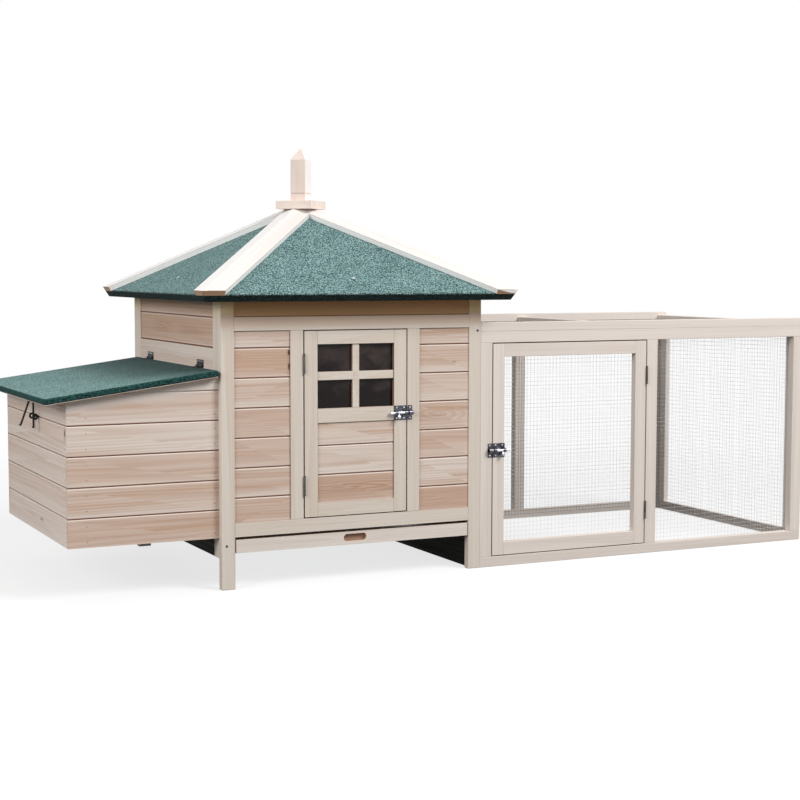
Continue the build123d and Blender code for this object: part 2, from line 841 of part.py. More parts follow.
with BuildPart() as run_top_mesh:
    top_plane = Plane.XY.offset(run_high_rail[1] - mesh_thick)
    for sheet in (
        (house_right + stick_wide - mesh_lap, run_back_post + mesh_lap),
        (run_back_post + stick_wide - mesh_lap, mesh_right),
    ):
        extrude(mesh_sheet(top_plane, sheet, inside_mesh), amount=mesh_thick)

# Run door
with BuildPart() as run_door_stiles:
    with BuildSketch(across_front(house_front + door_thick)):
        bar((run_door_left, run_door_left + stick_wide), (run_door_low, run_door_high))
        bar((run_door_right - stick_wide, run_door_right), (run_door_low, run_door_high))
    extrude(amount=door_thick)

run_door_inside = (run_door_left + stick_wide, run_door_right - stick_wide)
with BuildPart() as run_door_rails:
    with BuildSketch(across_front(house_front + door_thick)):
        bar(run_door_inside, (run_door_low, run_door_low + stick_wide))
        bar(run_door_inside, (run_door_high - stick_wide, run_door_high))
    extrude(amount=door_thick)

with BuildPart() as run_door_mesh:
    door_sheet = (run_door_inside[0] - mesh_lap, run_door_inside[1] + mesh_lap)
    door_sheet_up = (run_door_low + stick_wide - mesh_lap, run_door_high - stick_wide + mesh_lap)
    sheet_back = across_front(house_front + door_thick + mesh_thick)
    extrude(mesh_sheet(sheet_back, door_sheet, door_sheet_up), amount=mesh_thick)

# Stops above both doors and on their latch sides. The run's frame is deeper than its door, so a lip on each of
# its stops reaches forward to the door's back
house_stop_left = door_right - stop_lap
house_stop_low = door_high - stop_lap
run_stop_right = run_door_left + stop_lap
run_stop_low = run_door_high - stop_lap
lip_left = house_right + stick_wide + saw_gap
with BuildPart() as door_stops:
    with BuildSketch(across_front(front_inner + stop_thick)):
        bar((left_post[0], right_post[1]), (house_stop_low, house_stop_low + stop_wide))
        bar((house_stop_left, house_stop_left + stop_wide), (bottom_rail[1], house_stop_low - saw_gap))
    extrude(amount=stop_thick)
    with BuildSketch(across_front(run_inner_front + stop_thick)):
        bar((run_stop_right - stop_wide, run_mid_post), (run_stop_low, run_stop_low + stop_wide))
        bar((run_stop_right - stop_wide, run_stop_right), (run_low_rail[1], run_stop_low - saw_gap))
    extrude(amount=stop_thick)
    with BuildSketch(across_front(run_inner_front)):
        bar((lip_left, run_mid_post - saw_gap), (run_stop_low, run_high_rail[0] - saw_gap))
        bar((lip_left, run_stop_right), (run_low_rail[1] + saw_gap, run_stop_low - saw_gap))
    extrude(amount=run_stick_thick - door_thick - stop_slack)


# Outlines for the small metal parts
def rectangle_on(plane, across, up):
    with BuildSketch(plane) as outline:
        bar(across, up)
    return outline.sketch


def disc_on(plane, middle, radius):
    with BuildSketch(plane) as outline:
        with Locations(middle):
            Circle(radius)
    return outline.sketch


# A many-sided round, inside its circle for a knuckle and around it for a bore, so that a round pin turns in it
def small_round_on(plane, middle, radius, around=False):
    with BuildSketch(plane) as outline:
        with Locations(middle):
            RegularPolygon(radius, small_round_sides, major_radius=not around)
    return outline.sketch


# Butt hinge leaf: a plate along the whole hinge, and its own knuckles with the tabs that roll into them.
# Each section plane stands square to the hinge's axis, at a place along it.
knuckle_long = hinge_long / 3
own_knuckle = knuckle_long - 2 * hinge_side_gap


def leaf_with_knuckles(section_at, start, axis, plate, tab, knuckles):
    extrude(rectangle_on(section_at(start), *plate), amount=hinge_long)
    for number in knuckles:
        knuckle_section = section_at(start + number * knuckle_long + hinge_side_gap)
        extrude(rectangle_on(knuckle_section, *tab), amount=own_knuckle)
        extrude(small_round_on(knuckle_section, axis, hinge_knuckle), amount=own_knuckle)
    bore = small_round_on(section_at(start), axis, hinge_pin + hinge_slack, around=True)
    extrude(bore, amount=hinge_long, mode=Mode.SUBTRACT)


def headed_pin(section_at, start, axis):
    head = start + hinge_long - hinge_side_gap
    extrude(disc_on(section_at(start), axis, hinge_pin), amount=head - start)
    extrude(small_round_on(section_at(head), axis, hinge_pin_head), amount=hinge_pin_head_thick)


# Door hinges: both leaves folded into the gap, knuckles just in front of the faces
def level_section(height):
    return Plane.XY.offset(height)


axis_front = house_front - hinge_knuckle - hinge_side_gap
plate_start = house_front + hinge_side_gap
house_axis = left_post[1] + hinge_gap / 2
run_axis = run_mid_post - hinge_gap / 2


# The leaf on one side (-1 left, 1 right) of an upright axis
def upright_leaf(axis_x, side, low, knuckles):
    across = sorted((axis_x + side * (hinge_gap / 2 - hinge_leaf), axis_x + side * hinge_gap / 2))
    plate = (across, (plate_start, house_front + hinge_leaf_wide))
    tab = (across, (axis_front, plate_start))
    leaf_with_knuckles(level_section, low, (axis_x, axis_front), plate, tab, knuckles)


# Lid hinges: one leaf up the wall rail, one on the felt, the knuckles along the lid's inner edge
def wall_section(place_y):
    return Plane((house_left, place_y, 0), x_dir=(-1, 0, 0), z_dir=(0, 1, 0))


def lid_section(place_y):
    return Plane((lid_plane.origin.X, place_y, lid_plane.origin.Z), x_dir=lid_plane.x_dir, z_dir=(0, 1, 0))


lid_axis_out = hinge_knuckle + hinge_side_gap
lid_axis_along = -(lid_gap - lid_axis_out + hinge_knuckle * math.sin(lid_slope)) / math.cos(lid_slope)
lid_axis_height = (
    lid_inner_height - lid_axis_along * math.sin(lid_slope) + hinge_knuckle * math.cos(lid_slope)
)
lid_hinge_starts = [middle - hinge_long / 2 for middle in lid_hinge_middles]
knuckle_clear = hinge_knuckle + hinge_side_gap

with BuildPart() as fixed_hinge_leaves:
    for low in house_hinge_lows:
        upright_leaf(house_axis, -1, low, (0, 2))
    for low in run_hinge_lows:
        upright_leaf(run_axis, 1, low, (0, 2))
    for start in lid_hinge_starts:
        wall_plate_low = lid_axis_height + knuckle_clear
        wall_plate = ((0, hinge_leaf), (wall_plate_low, wall_plate_low + wall_leaf_high))
        wall_tab = ((0, hinge_leaf), (lid_axis_height, wall_plate_low))
        wall_axis = (lid_axis_out, lid_axis_height)
        leaf_with_knuckles(wall_section, start, wall_axis, wall_plate, wall_tab, (0, 2))

with BuildPart() as house_door_leaves:
    for low in house_hinge_lows:
        upright_leaf(house_axis, 1, low, (1,))

with BuildPart() as run_door_leaves:
    for low in run_hinge_lows:
        upright_leaf(run_axis, -1, low, (1,))

with BuildPart() as nest_lid_leaves:
    for start in lid_hinge_starts:
        lid_plate_start = lid_axis_along + knuckle_clear
        lid_plate = ((lid_plate_start, lid_plate_start + lid_leaf_wide), (0, hinge_leaf))
        lid_tab = ((lid_axis_along, lid_plate_start), (0, hinge_leaf))
        lid_leaf_axis = (lid_axis_along, hinge_knuckle)
        leaf_with_knuckles(lid_section, start, lid_leaf_axis, lid_plate, lid_tab, (1,))

with BuildPart() as hinge_pins:
    for low in house_hinge_lows:
        headed_pin(level_section, low, (house_axis, axis_front))
    for low in run_hinge_lows:
        headed_pin(level_section, low, (run_axis, axis_front))
    for start in lid_hinge_starts:
        headed_pin(wall_section, start, (lid_axis_out, lid_axis_height))

# Barrel bolts. Places along the rod are counted back from the door's free edge; side is 1 where the rod is
# thrown to the right and -1 where it is thrown to the left. Both are drawn back, which leaves the doors free.
bolt_axis = house_front - bolt_stand


def bolt_section(edge, side, back):
    return Plane((edge - side * back, 0, 0), x_dir=(0, 1, 0), z_dir=(1, 0, 0))


# Strap over the rod, open down to the plate
def bolt_saddle(edge, side, height, start, end, bore):
    section = bolt_section(edge, side, start)
    width = side * (start - end)
    foot = ((bolt_axis, house_front), (height - bolt_guide_round, height + bolt_guide_round))
    extrude(rectangle_on(section, *foot), amount=width)
    extrude(disc_on(section, (bolt_axis, height), bolt_guide_round), amount=width)
    extrude(disc_on(section, (bolt_axis, height), bore), amount=width, mode=Mode.SUBTRACT)
    channel = ((bolt_axis, house_front - bolt_plate_thick), (height - bore, height + bore))
    extrude(rectangle_on(section, *channel), amount=width, mode=Mode.SUBTRACT)


def bolt_plate(edge, side, height, start, end):
    across = sorted((edge - side * start, edge - side * end))
    up = (height - bolt_plate_high / 2, height + bolt_plate_high / 2)
    extrude(rectangle_on(across_front(house_front), across, up), amount=bolt_plate_thick)


def bolt_barrel(edge, side, height):
    rear = bolt_plate_start + bolt_plate_long
    bolt_plate(edge, side, height, bolt_plate_start, rear)
    front_guide_end = bolt_plate_start + bolt_guide_long
    bolt_saddle(edge, side, height, bolt_plate_start, front_guide_end, bolt_rod + bolt_slack)
    bolt_saddle(edge, side, height, rear - bolt_guide_long, rear, bolt_rod + bolt_slack)


def bolt_rod_with_arm(edge, side, height):
    nose = bolt_section(edge, side, bolt_plate_start)
    extrude(disc_on(nose, (bolt_axis, height), bolt_rod), amount=-side * bolt_rod_long)
    arm_x = edge - side * (bolt_plate_start + bolt_arm_back)
    tilt = math.radians(bolt_arm_tilt)
    arm_foot = Plane((arm_x, bolt_axis, height), z_dir=(0, -math.cos(tilt), -math.sin(tilt)))
    extrude(disc_on(arm_foot, (0, 0), bolt_arm), amount=bolt_arm_long)
    knob_foot = arm_foot.offset(bolt_arm_long)
    extrude(disc_on(knob_foot, (0, 0), bolt_knob), amount=bolt_knob_long)
    extrude(disc_on(knob_foot.offset(bolt_knob_long), (0, 0), bolt_knob), amount=bolt_knob_end, taper=45)


with BuildPart() as house_bolt_barrel:
    bolt_barrel(door_right, 1, house_bolt_height)

with BuildPart() as house_bolt_rod:
    bolt_rod_with_arm(door_right, 1, house_bolt_height)

with BuildPart() as run_bolt_barrel:
    bolt_barrel(run_door_left, -1, run_bolt_height)

with BuildPart() as run_bolt_rod:
    bolt_rod_with_arm(run_door_left, -1, run_bolt_height)

with BuildPart() as bolt_keepers:
    for edge, side, height in ((door_right, 1, house_bolt_height), (run_door_left, -1, run_bolt_height)):
        bolt_plate(edge, side, height, -keeper_gap - keeper_long, -keeper_gap)
        bolt_saddle(edge, side, height, -keeper_gap - keeper_long, -keeper_gap, bolt_rod + keeper_slack)

# Wire hooks under the nest lid: a screw eye in the lid, a hook looped through it, a screw eye in the wall beside
eye_along = lid_long - hook_set_in
eye_foot = lid_plane.from_local_coords((eye_along, 0, -lid_thick))
eye_middle = lid_plane.from_local_coords((eye_along, 0, -lid_thick - hook_eye_stem - hook_eye))
hook_ys = (straight_hook_y, leaning_hook_y)


def wire_ring(middle, radius):
    with Locations(middle):
        RegularPolygon(radius + hook_wire, small_round_sides)
        RegularPolygon(radius - hook_wire, small_round_sides, major_radius=False, mode=Mode.SUBTRACT)


def screw_eye(foot, outward):
    with BuildSketch(Plane(foot, x_dir=outward, z_dir=(0, 1, 0))) as outline:
        bar((0, hook_eye_stem), (-hook_wire, hook_wire))
        wire_ring((hook_eye_stem + hook_eye, 0), hook_eye)
    extrude(outline.sketch, amount=hook_wire, both=True)


with BuildPart() as lid_hook_eyes:
    for hook_y in hook_ys:
        screw_eye((eye_foot.X, hook_y, eye_foot.Z), -lid_plane.z_dir)

loop_drop = hook_eye - 2 * hook_wire - hook_slack + hook_loop
shank_top = -loop_drop - hook_loop
with BuildPart() as one_hook:
    with BuildSketch(Plane.YZ):
        with BuildLine():
            FilletPolyline(
                (0, shank_top),
                (0, shank_top - hook_drop),
                (hook_tip, shank_top - hook_drop),
                radius=hook_bend,
            )
        trace(line_width=2 * hook_wire)
        wire_ring((0, -loop_drop), hook_loop)
    extrude(amount=hook_wire, both=True)

with BuildPart() as straight_hook:
    with Locations((eye_middle.X, straight_hook_y, eye_middle.Z)):
        add(one_hook.part)

with BuildPart() as leaning_hook:
    with Locations((eye_middle.X, leaning_hook_y, eye_middle.Z)):
        add(one_hook.part, rotation=(0, hook_lean, 0))

with BuildPart() as wall_hook_eyes:
    for hook_y in hook_ys:
        screw_eye((nest_left, hook_y + wall_eye_aside, wall_eye_height), (-1, 0, 0))

pieces = {
    "legs": legs,
    "house_rails": house_rails,
    "front_door_posts": front_door_posts,
    "front_boards": front_boards,
    "back_boards": back_boards,
    "side_wall_posts": side_wall_posts,
    "side_wall_rails": side_wall_rails,
    "left_wall_boards": left_wall_boards,
    "right_wall_boards": right_wall_boards,
    "hatch_guides": hatch_guides,
    "hatch_door": hatch_door,
    "perch": perch,
    "tray_runners": tray_runners,
    "tray_front": tray_front,
    "tray_pan": tray_pan,
    "roof_panels": roof_panels,
    "roof_felts": roof_felts,
    "hip_strips": hip_strips,
    "roof_plate": roof_plate,
    "finial": finial,
    "nest_side_boards": nest_side_boards,
    "nest_end_boards": nest_end_boards,
    "nest_floor": nest_floor,
    "nest_battens": nest_battens,
    "nest_divider": nest_divider,
    "nest_lid_board": nest_lid_board,
    "nest_lid_felt": nest_lid_felt,
    "house_door_stiles": house_door_stiles,
    "house_door_rails": house_door_rails,
    "house_door_muntins": house_door_muntins,
    "house_door_boards": house_door_boards,
    "house_door_pane": house_door_pane,
    "run_side_posts": run_side_posts,
    "run_side_rails": run_side_rails,
    "run_end_posts": run_end_posts,
    "run_end_rails": run_end_rails,
    "run_top_rails": run_top_rails,
    "run_top_bars": run_top_bars,
    "run_front_mesh": run_front_mesh,
    "run_back_mesh": run_back_mesh,
    "run_end_mesh": run_end_mesh,
    "run_top_mesh": run_top_mesh,
    "run_door_stiles": run_door_stiles,
    "run_door_rails": run_door_rails,
    "run_door_mesh": run_door_mesh,
    "door_stops": door_stops,
    "fixed_hinge_leaves": fixed_hinge_leaves,
    "house_door_leaves": house_door_leaves,
    "run_door_leaves": run_door_leaves,
    "nest_lid_leaves": nest_lid_leaves,
    "hinge_pins": hinge_pins,
    "bolt_keepers": bolt_keepers,
    "house_bolt_barrel": house_bolt_barrel,
    "house_bolt_rod": house_bolt_rod,
    "run_bolt_barrel": run_bolt_barrel,
    "run_bolt_rod": run_bolt_rod,
    "lid_hook_eyes": lid_hook_eyes,
    "straight_hook": straight_hook,
    "leaning_hook": leaning_hook,
    "wall_hook_eyes": wall_hook_eyes,
}

os.makedirs("parts", exist_ok=True)
for name, piece in pieces.items():
    piece.part.label = name
    export_step(piece.part, f"parts/{name}.step")
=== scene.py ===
import json
import math
import random
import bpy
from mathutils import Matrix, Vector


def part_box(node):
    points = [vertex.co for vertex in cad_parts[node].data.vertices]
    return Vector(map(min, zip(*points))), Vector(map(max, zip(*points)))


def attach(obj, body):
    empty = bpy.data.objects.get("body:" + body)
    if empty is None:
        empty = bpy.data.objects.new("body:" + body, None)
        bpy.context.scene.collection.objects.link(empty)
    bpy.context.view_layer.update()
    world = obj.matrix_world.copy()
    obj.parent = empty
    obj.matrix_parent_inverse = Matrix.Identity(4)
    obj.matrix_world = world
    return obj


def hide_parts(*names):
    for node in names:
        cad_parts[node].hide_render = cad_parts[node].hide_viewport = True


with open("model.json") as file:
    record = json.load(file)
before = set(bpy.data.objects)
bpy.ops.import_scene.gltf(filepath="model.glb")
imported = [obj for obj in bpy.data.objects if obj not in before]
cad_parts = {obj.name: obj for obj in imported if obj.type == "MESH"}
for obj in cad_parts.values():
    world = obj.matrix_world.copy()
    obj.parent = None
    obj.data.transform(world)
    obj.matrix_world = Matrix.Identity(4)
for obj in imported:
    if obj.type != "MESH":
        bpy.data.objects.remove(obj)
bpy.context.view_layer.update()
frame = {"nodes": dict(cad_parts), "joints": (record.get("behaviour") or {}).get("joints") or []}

from types import SimpleNamespace

import bpy
from mathutils import Matrix, Vector

nodes = frame["nodes"]
joints = {joint["name"]: joint for joint in frame["joints"]}
scene = bpy.context.scene
scene.view_settings.view_transform = "Standard"
axisX, axisY, axisZ = Vector((1, 0, 0)), Vector((0, 1, 0)), Vector((0, 0, 1))
legLow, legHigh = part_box("legs")  # places along the coop are counted from the house's front left corner
roofLow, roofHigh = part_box("roof_felts")
roofMiddle = (roofLow + roofHigh) / 2
nestLow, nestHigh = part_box("nest_side_boards")
eaveHeight = 0.785
eaveBoardFoot = 0.7245  # the highest front board stands here on the top rail
lidFall = 0.061 / 0.467  # how far the nest lid drops in each metre outward
print("frame:", len(nodes), "nodes")


# Colours are written as 0-255 screen values and turned into the linear ones that the shaders take
def tint(red, green, blue):
    def linear(value):
        value = value / 255
        return value / 12.92 if value <= 0.04045 else ((value + 0.055) / 1.055) ** 2.4
    return (linear(red), linear(green), linear(blue), 1.0)


def startMaterial(name, roughness, metallic=0.0, specular=0.5):
    material = bpy.data.materials.new(name)
    material.use_nodes = True
    shader = material.node_tree.nodes["Principled BSDF"]
    shader.inputs["Roughness"].default_value = roughness
    shader.inputs["Metallic"].default_value = metallic
    shader.inputs["Specular IOR Level"].default_value = specular
    return material, material.node_tree, shader


# A value that is a socket is linked, any other is set
def addNode(tree, kind, values=None, **settings):
    node = tree.nodes.new(kind)
    for key, value in settings.items():
        setattr(node, key, value)
    for key, value in (values or {}).items():
        if isinstance(value, bpy.types.NodeSocket):
            tree.links.new(value, node.inputs[key])
        else:
            node.inputs[key].default_value = value
    return node


def calc(tree, operation, first, second=0.0, clamp=False):
    values = {0: first, 1: second}
    return addNode(tree, "ShaderNodeMath", values, operation=operation, use_clamp=clamp).outputs[0]


def plus(tree, first, second, clamp=False):
    return calc(tree, "ADD", first, second, clamp)


def minus(tree, first, second):
    return calc(tree, "SUBTRACT", first, second)


def times(tree, first, second):
    return calc(tree, "MULTIPLY", first, second)


def apart(tree, first, second):
    return calc(tree, "ABSOLUTE", minus(tree, first, second))


def blend(tree, amount, first, second):
    return addNode(tree, "ShaderNodeMix", {0: amount, 6: first, 7: second}, data_type="RGBA").outputs[2]


def spread(tree, value, low, high, toLow=0.0, toHigh=1.0):
    values = {0: value, 1: low, 2: high, 3: toLow, 4: toHigh}
    return addNode(tree, "ShaderNodeMapRange", values, interpolation_type="SMOOTHSTEP").outputs[0]


# A row holds the value where a share begins, the value where it ends, and the share at each
def toned(tree, value, row, strength=1.0):
    low, high, toLow, toHigh = row
    return spread(tree, value, low, high, toLow * strength, toHigh * strength)


def combine(tree, first, second, third=0.0):
    return addNode(tree, "ShaderNodeCombineXYZ", {0: first, 1: second, 2: third}).outputs[0]


def axesOf(tree, vector):
    return addNode(tree, "ShaderNodeSeparateXYZ", {0: vector}).outputs


def length(tree, vector):
    return addNode(tree, "ShaderNodeVectorMath", {0: vector}, operation="LENGTH").outputs["Value"]


def noise(tree, place, scale, detail=2.0, rough=0.5):
    values = {"Vector": place, "Scale": scale, "Detail": detail, "Roughness": rough}
    return addNode(tree, "ShaderNodeTexNoise", values).outputs["Fac"]


def bump(tree, shader, height, distance, strength=1.0):
    values = {"Height": height, "Distance": distance, "Strength": strength}
    tree.links.new(addNode(tree, "ShaderNodeBump", values).outputs[0], shader.inputs["Normal"])


timber = {
    "roughness": 0.62, "specular": 0.3,
    "shift": 37.0,  # moves each board or stick along the pattern, so that no two are alike
    "hipFall": 0.378,  # drop of a hip along its level run
    "streakRoughness": 0.6,
    "gloss": (0.3, 0.7, 0.54, 0.74),  # roughness by fibre
    "bumpHeight": 0.0004, "bumpStrength": 0.5, "ringBump": -0.4,
}
# Streaks drawn out along the grain: share of the length that counts, width in metres, detail, start
streaks = {
    "fibre": (0.008, 0.0030, 3.0, 0.0),
    "band": (0.022, 0.018, 2.0, 3.0),  # soft light and dark bands
    "blush": (0.030, 0.030, 1.0, 8.0),  # reddish heartwood
    "wander": (0.060, 0.10, 2.0, 5.0),  # slow bends of the growth rings
}
growth = {
    "ring": 0.0065,  # distance between growth rings, metres
    "taper": 0.010,  # how far they drift in a metre, which draws the long arcs
    "wobble": 0.006,
    "darken": (0.15, 0.72), "pale": (1.0, 0.72),  # within a ring
    "heart": (0.035, 0.07),  # highest place of the heart above a board's middle, and its span down
    "behind": (0.012, 0.05),  # least depth of the heart behind a board's face, and its span
    "shuffle": 7.3,  # makes a second random number from a board's first
    "lean": (0.35, 0.85),  # least turn of the rings in a stick, and its span, radians
}
# Rows for the shares of colour, by the height above a board's line or by a streak's value
toning = {
    "boardFoot": (0.004, 0.045, -0.20, 0.10),  # a board is paler at its lower edge
    "boardBand": (0.30, 0.70, -0.16, 0.16),
    "stickBand": (0.35, 0.70, -0.10, 0.35),
    "blush": (0.54, 0.74, 0.0, 0.50),
    "ring": (0.30, 0.70, 0.08, 0.26),
    "darkFibre": (0.54, 0.80, 0.0, 0.32),
    "lightFibre": (0.46, 0.22, 0.0, 0.36),
}
cladding = {
    "cover": 0.080,
    # the pale lips are painted highlights and the groove's brown line is painted shade
    "lipAbove": (0.010, 0.004, 0.0, 0.4), "lipBelow": (0.005, 0.003, 0.0, 0.6),  # pale beside a board line
    "groove": (0.005, 0.0025, 0.0, 0.9), "grooveShade": tint(122, 72, 46),
    "swirlBend": 2.5, "swirlLine": (0.35, 0.8), "swirlFade": (7.5, 2.0, 0.0, 1.0),
    "knotFray": 0.4, "knotHalo": (3.4, 1.2, 0.0, 0.45), "knotHeart": (1.3, 0.9, 0.0, 1.0),
    "knotColour": tint(70, 42, 32),
}


# Directions along, aside and up for fibres that run along an axis, or down the hips from the roof's middle
def grainAxes(tree, grain, x, y, z):
    if grain == "hip":
        awayX, awayY = apart(tree, x, roofMiddle.x), apart(tree, y, roofMiddle.y)
        along = times(tree, plus(tree, awayX, awayY), math.sqrt(0.5))
        aside = times(tree, minus(tree, awayX, awayY), math.sqrt(0.5))
        return along, aside, plus(tree, z, times(tree, along, timber["hipFall"]))
    return {"X": (x, y, z), "Y": (y, x, z), "Z": (z, x, y)}[grain]


# What the patterns are drawn from: the place, the way the face looks, a random number for each board or
# stick, and the distances along, aside and up its grain
def woodSpot(tree, grain):
    coordinates = addNode(tree, "ShaderNodeTexCoord").outputs
    x, y, z = axesOf(tree, coordinates["Object"])
    faceX, faceY, faceZ = axesOf(tree, coordinates["Normal"])
    piece = addNode(tree, "ShaderNodeNewGeometry").outputs["Random Per Island"]
    along, aside, upward = grainAxes(tree, grain, x, y, z)
    longways = plus(tree, along, times(tree, piece, timber["shift"]))
    return SimpleNamespace(x=x, y=y, z=z, faceX=faceX, faceY=faceY, faceZ=faceZ, piece=piece,
                           along=along, aside=aside, upward=upward, longways=longways)


def streak(tree, spot, kind):
    share, width, detail, start = streaks[kind]
    slow = plus(tree, times(tree, spot.longways, share), start)
    place = combine(tree, slow, spot.upward, spot.aside)
    return noise(tree, place, 1 / width, detail, timber["streakRoughness"])


# Distance from the heart of the tree, which lies close behind each board
def boardRadius(tree, spot, above):
    highest, heartSpan = growth["heart"]
    least, depthSpan = growth["behind"]
    fromTop = minus(tree, above, cladding["cover"] / 2 + highest)
    fromHeart = plus(tree, fromTop, times(tree, spot.piece, heartSpan))
    shuffled = calc(tree, "FRACT", times(tree, spot.piece, growth["shuffle"]))
    behind = plus(tree, times(tree, shuffled, depthSpan), least)
    return length(tree, combine(tree, fromHeart, behind))


# A stick is far from the heart, so its rings cross it as straight lines
def stickRadius(tree, spot):
    least, span = growth["lean"]
    lean = plus(tree, times(tree, spot.piece, span), least)
    upShare = times(tree, spot.upward, calc(tree, "COSINE", lean))
    return plus(tree, upShare, times(tree, spot.aside, calc(tree, "SINE", lean)))


def growthRings(tree, spot, radius):
    wander = times(tree, streak(tree, spot, "wander"), growth["wobble"])
    drift = plus(tree, times(tree, spot.longways, growth["taper"]), wander)
    turns = calc(tree, "FRACT", calc(tree, "DIVIDE", plus(tree, radius, drift), growth["ring"]))
    return times(tree, spread(tree, turns, *growth["darken"]), spread(tree, turns, *growth["pale"]))


# Height above the line at the foot of a board
def aboveLine(tree, spot, boards):
    course = calc(tree, "DIVIDE", minus(tree, spot.z, boards["base"]), cladding["cover"])
    return times(tree, calc(tree, "FRACT", course), cladding["cover"])


def grey(value):
    return (value, value, value, 1.0)


# Board tones by height: 0 is the pale board, 1 the warm one, from the lowest course up
def courseTone(tree, height, base, tones):
    share = calc(tree, "DIVIDE", minus(tree, height, base), cladding["cover"] * len(tones))
    ramp = addNode(tree, "ShaderNodeValToRGB", {0: share})
    ramp.color_ramp.interpolation = "CONSTANT"
    stops = ramp.color_ramp.elements
    stops[0].color = grey(tones[0])
    stops[1].position = (len(tones) - 1) / len(tones)
    stops[1].color = grey(tones[-1])
    for number in range(1, len(tones) - 1):
        stops.new(number / len(tones)).color = grey(tones[number])
    return ramp.outputs[0]


# A wall may have other tones in the columns right of its split
def boardWarmth(tree, spot, boards, above, band):
    warmth = courseTone(tree, spot.z, boards["base"], boards["tones"])
    if "split" in boards:
        right = courseTone(tree, spot.z, boards["base"], boards["rightTones"])
        warmth = blend(tree, calc(tree, "GREATER_THAN", spot.x, boards["split"]), warmth, right)
    warmth = plus(tree, warmth, toned(tree, above, toning["boardFoot"]))
    return plus(tree, warmth, toned(tree, band, toning["boardBand"]), clamp=True)


# 1 at the rim of an oval round a place on the wall
def around(tree, spot, along, height, halfWide, halfHigh):
    offAlong = calc(tree, "DIVIDE", minus(tree, spot.along, along), halfWide)
    offUp = calc(tree, "DIVIDE", minus(tree, spot.z, height), halfHigh)
    return length(tree, combine(tree, offAlong, offUp))


# Swirls are rings that flow round a knot behind the face
def boardKnots(tree, spot, boards, colours, colour, band, fibre):
    for *oval, depth in boards.get("swirls", ()):
        size = plus(tree, around(tree, spot, *oval), times(tree, band, cladding["swirlBend"]))
        line = spread(tree, calc(tree, "FRACT", size), *cladding["swirlLine"])
        share = times(tree, line, toned(tree, size, cladding["swirlFade"], depth))
        colour = blend(tree, share, colour, colours["streak"])
    for *oval, depth in boards.get("knots", ()):
        size = plus(tree, around(tree, spot, *oval), times(tree, fibre, cladding["knotFray"]))
        colour = blend(tree, toned(tree, size, cladding["knotHalo"], depth), colour, colours["streak"])
        heart = toned(tree, size, cladding["knotHeart"], depth)
        colour = blend(tree, heart, colour, cladding["knotColour"])
    return colour


# Painted highlights beside each board line and painted shade along its groove
def boardLines(tree, colours, colour, above):
    below = minus(tree, cladding["cover"], above)
    colour = blend(tree, toned(tree, above, cladding["lipAbove"]), colour, colours["light"])
    colour = blend(tree, toned(tree, below, cladding["lipBelow"]), colour, colours["light"])
    return blend(tree, toned(tree, above, cladding["groove"]), colour, cladding["grooveShade"])


# Painted light: the boards are painted paler under the sloping lid, where its shadow falls
def paintUnderLid(tree, spot, colour, mark):
    lidLine = plus(tree, times(tree, minus(tree, spot.x, nestHigh.x), lidFall), nestHigh.z)
    depth = minus(tree, lidLine, spot.z)
    return blend(tree, toned(tree, depth, mark["depths"]), colour, mark["underLidLight"])


# Painted shade under the eave: a warm shaded brown, with a painted shadow line where it stands on the top
# rail
def paintEaveBoard(tree, spot, colour, mark):
    eaveShade = toned(tree, spot.z, mark["heights"])
    seamShadow = times(tree, eaveShade, spread(tree, spot.z, *mark["seamShadowHeights"]))
    return blend(tree, seamShadow, blend(tree, eaveShade, colour, mark["shade"]), mark["seamShadow"])


# Painted light: the right half, which faces the light, is painted paler
def paintHalf(tree, spot, colour, mark):
    right = calc(tree, "GREATER_THAN", spot.x, mark["middle"])
    return blend(tree, times(tree, right, mark["share"]), colour, mark["other"])


# Painted shade: brown where the pull is cut in from the front
def paintRecess(tree, spot, colour, mark):
    return blend(tree, toned(tree, spot.y, mark["depths"]), colour, mark["rough"])


# Painted shade: brown on the narrow faces that line the gaps, or only on those round the outside of a door
# leaf
def paintEdge(tree, spot, colour, mark):
    narrow = toned(tree, calc(tree, "ABSOLUTE", spot.faceY), mark["narrow"])
    if "leaf" in mark:
        leafLow, leafHigh = mark["leaf"]
        middle, half = (leafLow + leafHigh) / 2, (leafHigh - leafLow) / 2
        overX = minus(tree, apart(tree, spot.x, middle.x), half.x)
        overZ = minus(tree, apart(tree, spot.z, middle.z), half.z)
        outside = calc(tree, "GREATER_THAN", calc(tree, "MAXIMUM", overX, overZ), -mark["rim"])
        narrow = times(tree, narrow, outside)
    return blend(tree, narrow, colour, mark["brown"])


# A hip strip's left tops, paler sides, brown outer edges and sawn ends, told apart by the way they look
def paintStrip(tree, spot, colour, mark):
    # the left tops and the sides are painted paler: painted light on faces turned from the lamps
    leftTopLight = times(tree, spread(tree, spot.faceX, *mark["left"]), spread(tree, spot.faceZ, *mark["top"]))
    colour = blend(tree, leftTopLight, colour, mark["leftTopLight"])
    colour = blend(tree, spread(tree, spot.faceZ, *mark["side"]), colour, mark["planed"])
    upper, lower = (spread(tree, spot.faceZ, *slants) for slants in mark["edge"])
    outer = calc(tree, "GREATER_THAN", calc(tree, "ABSOLUTE", spot.aside), mark["outside"])
    arris = times(tree, times(tree, upper, lower), outer)
    colour = blend(tree, arris, colour, mark["arris"])
    return blend(tree, spread(tree, spot.faceZ, *mark["end"]), colour, mark["sawnEnd"])


# Painted shade under the house: the lowest boards are painted near black where they face left
def paintFoot(tree, spot, colour, mark):
    footShadeShare = times(tree, spread(tree, spot.faceX, *mark["left"]), spread(tree, spot.z, *mark["heights"]))
    return blend(tree, footShadeShare, colour, mark["footShadeColour"])


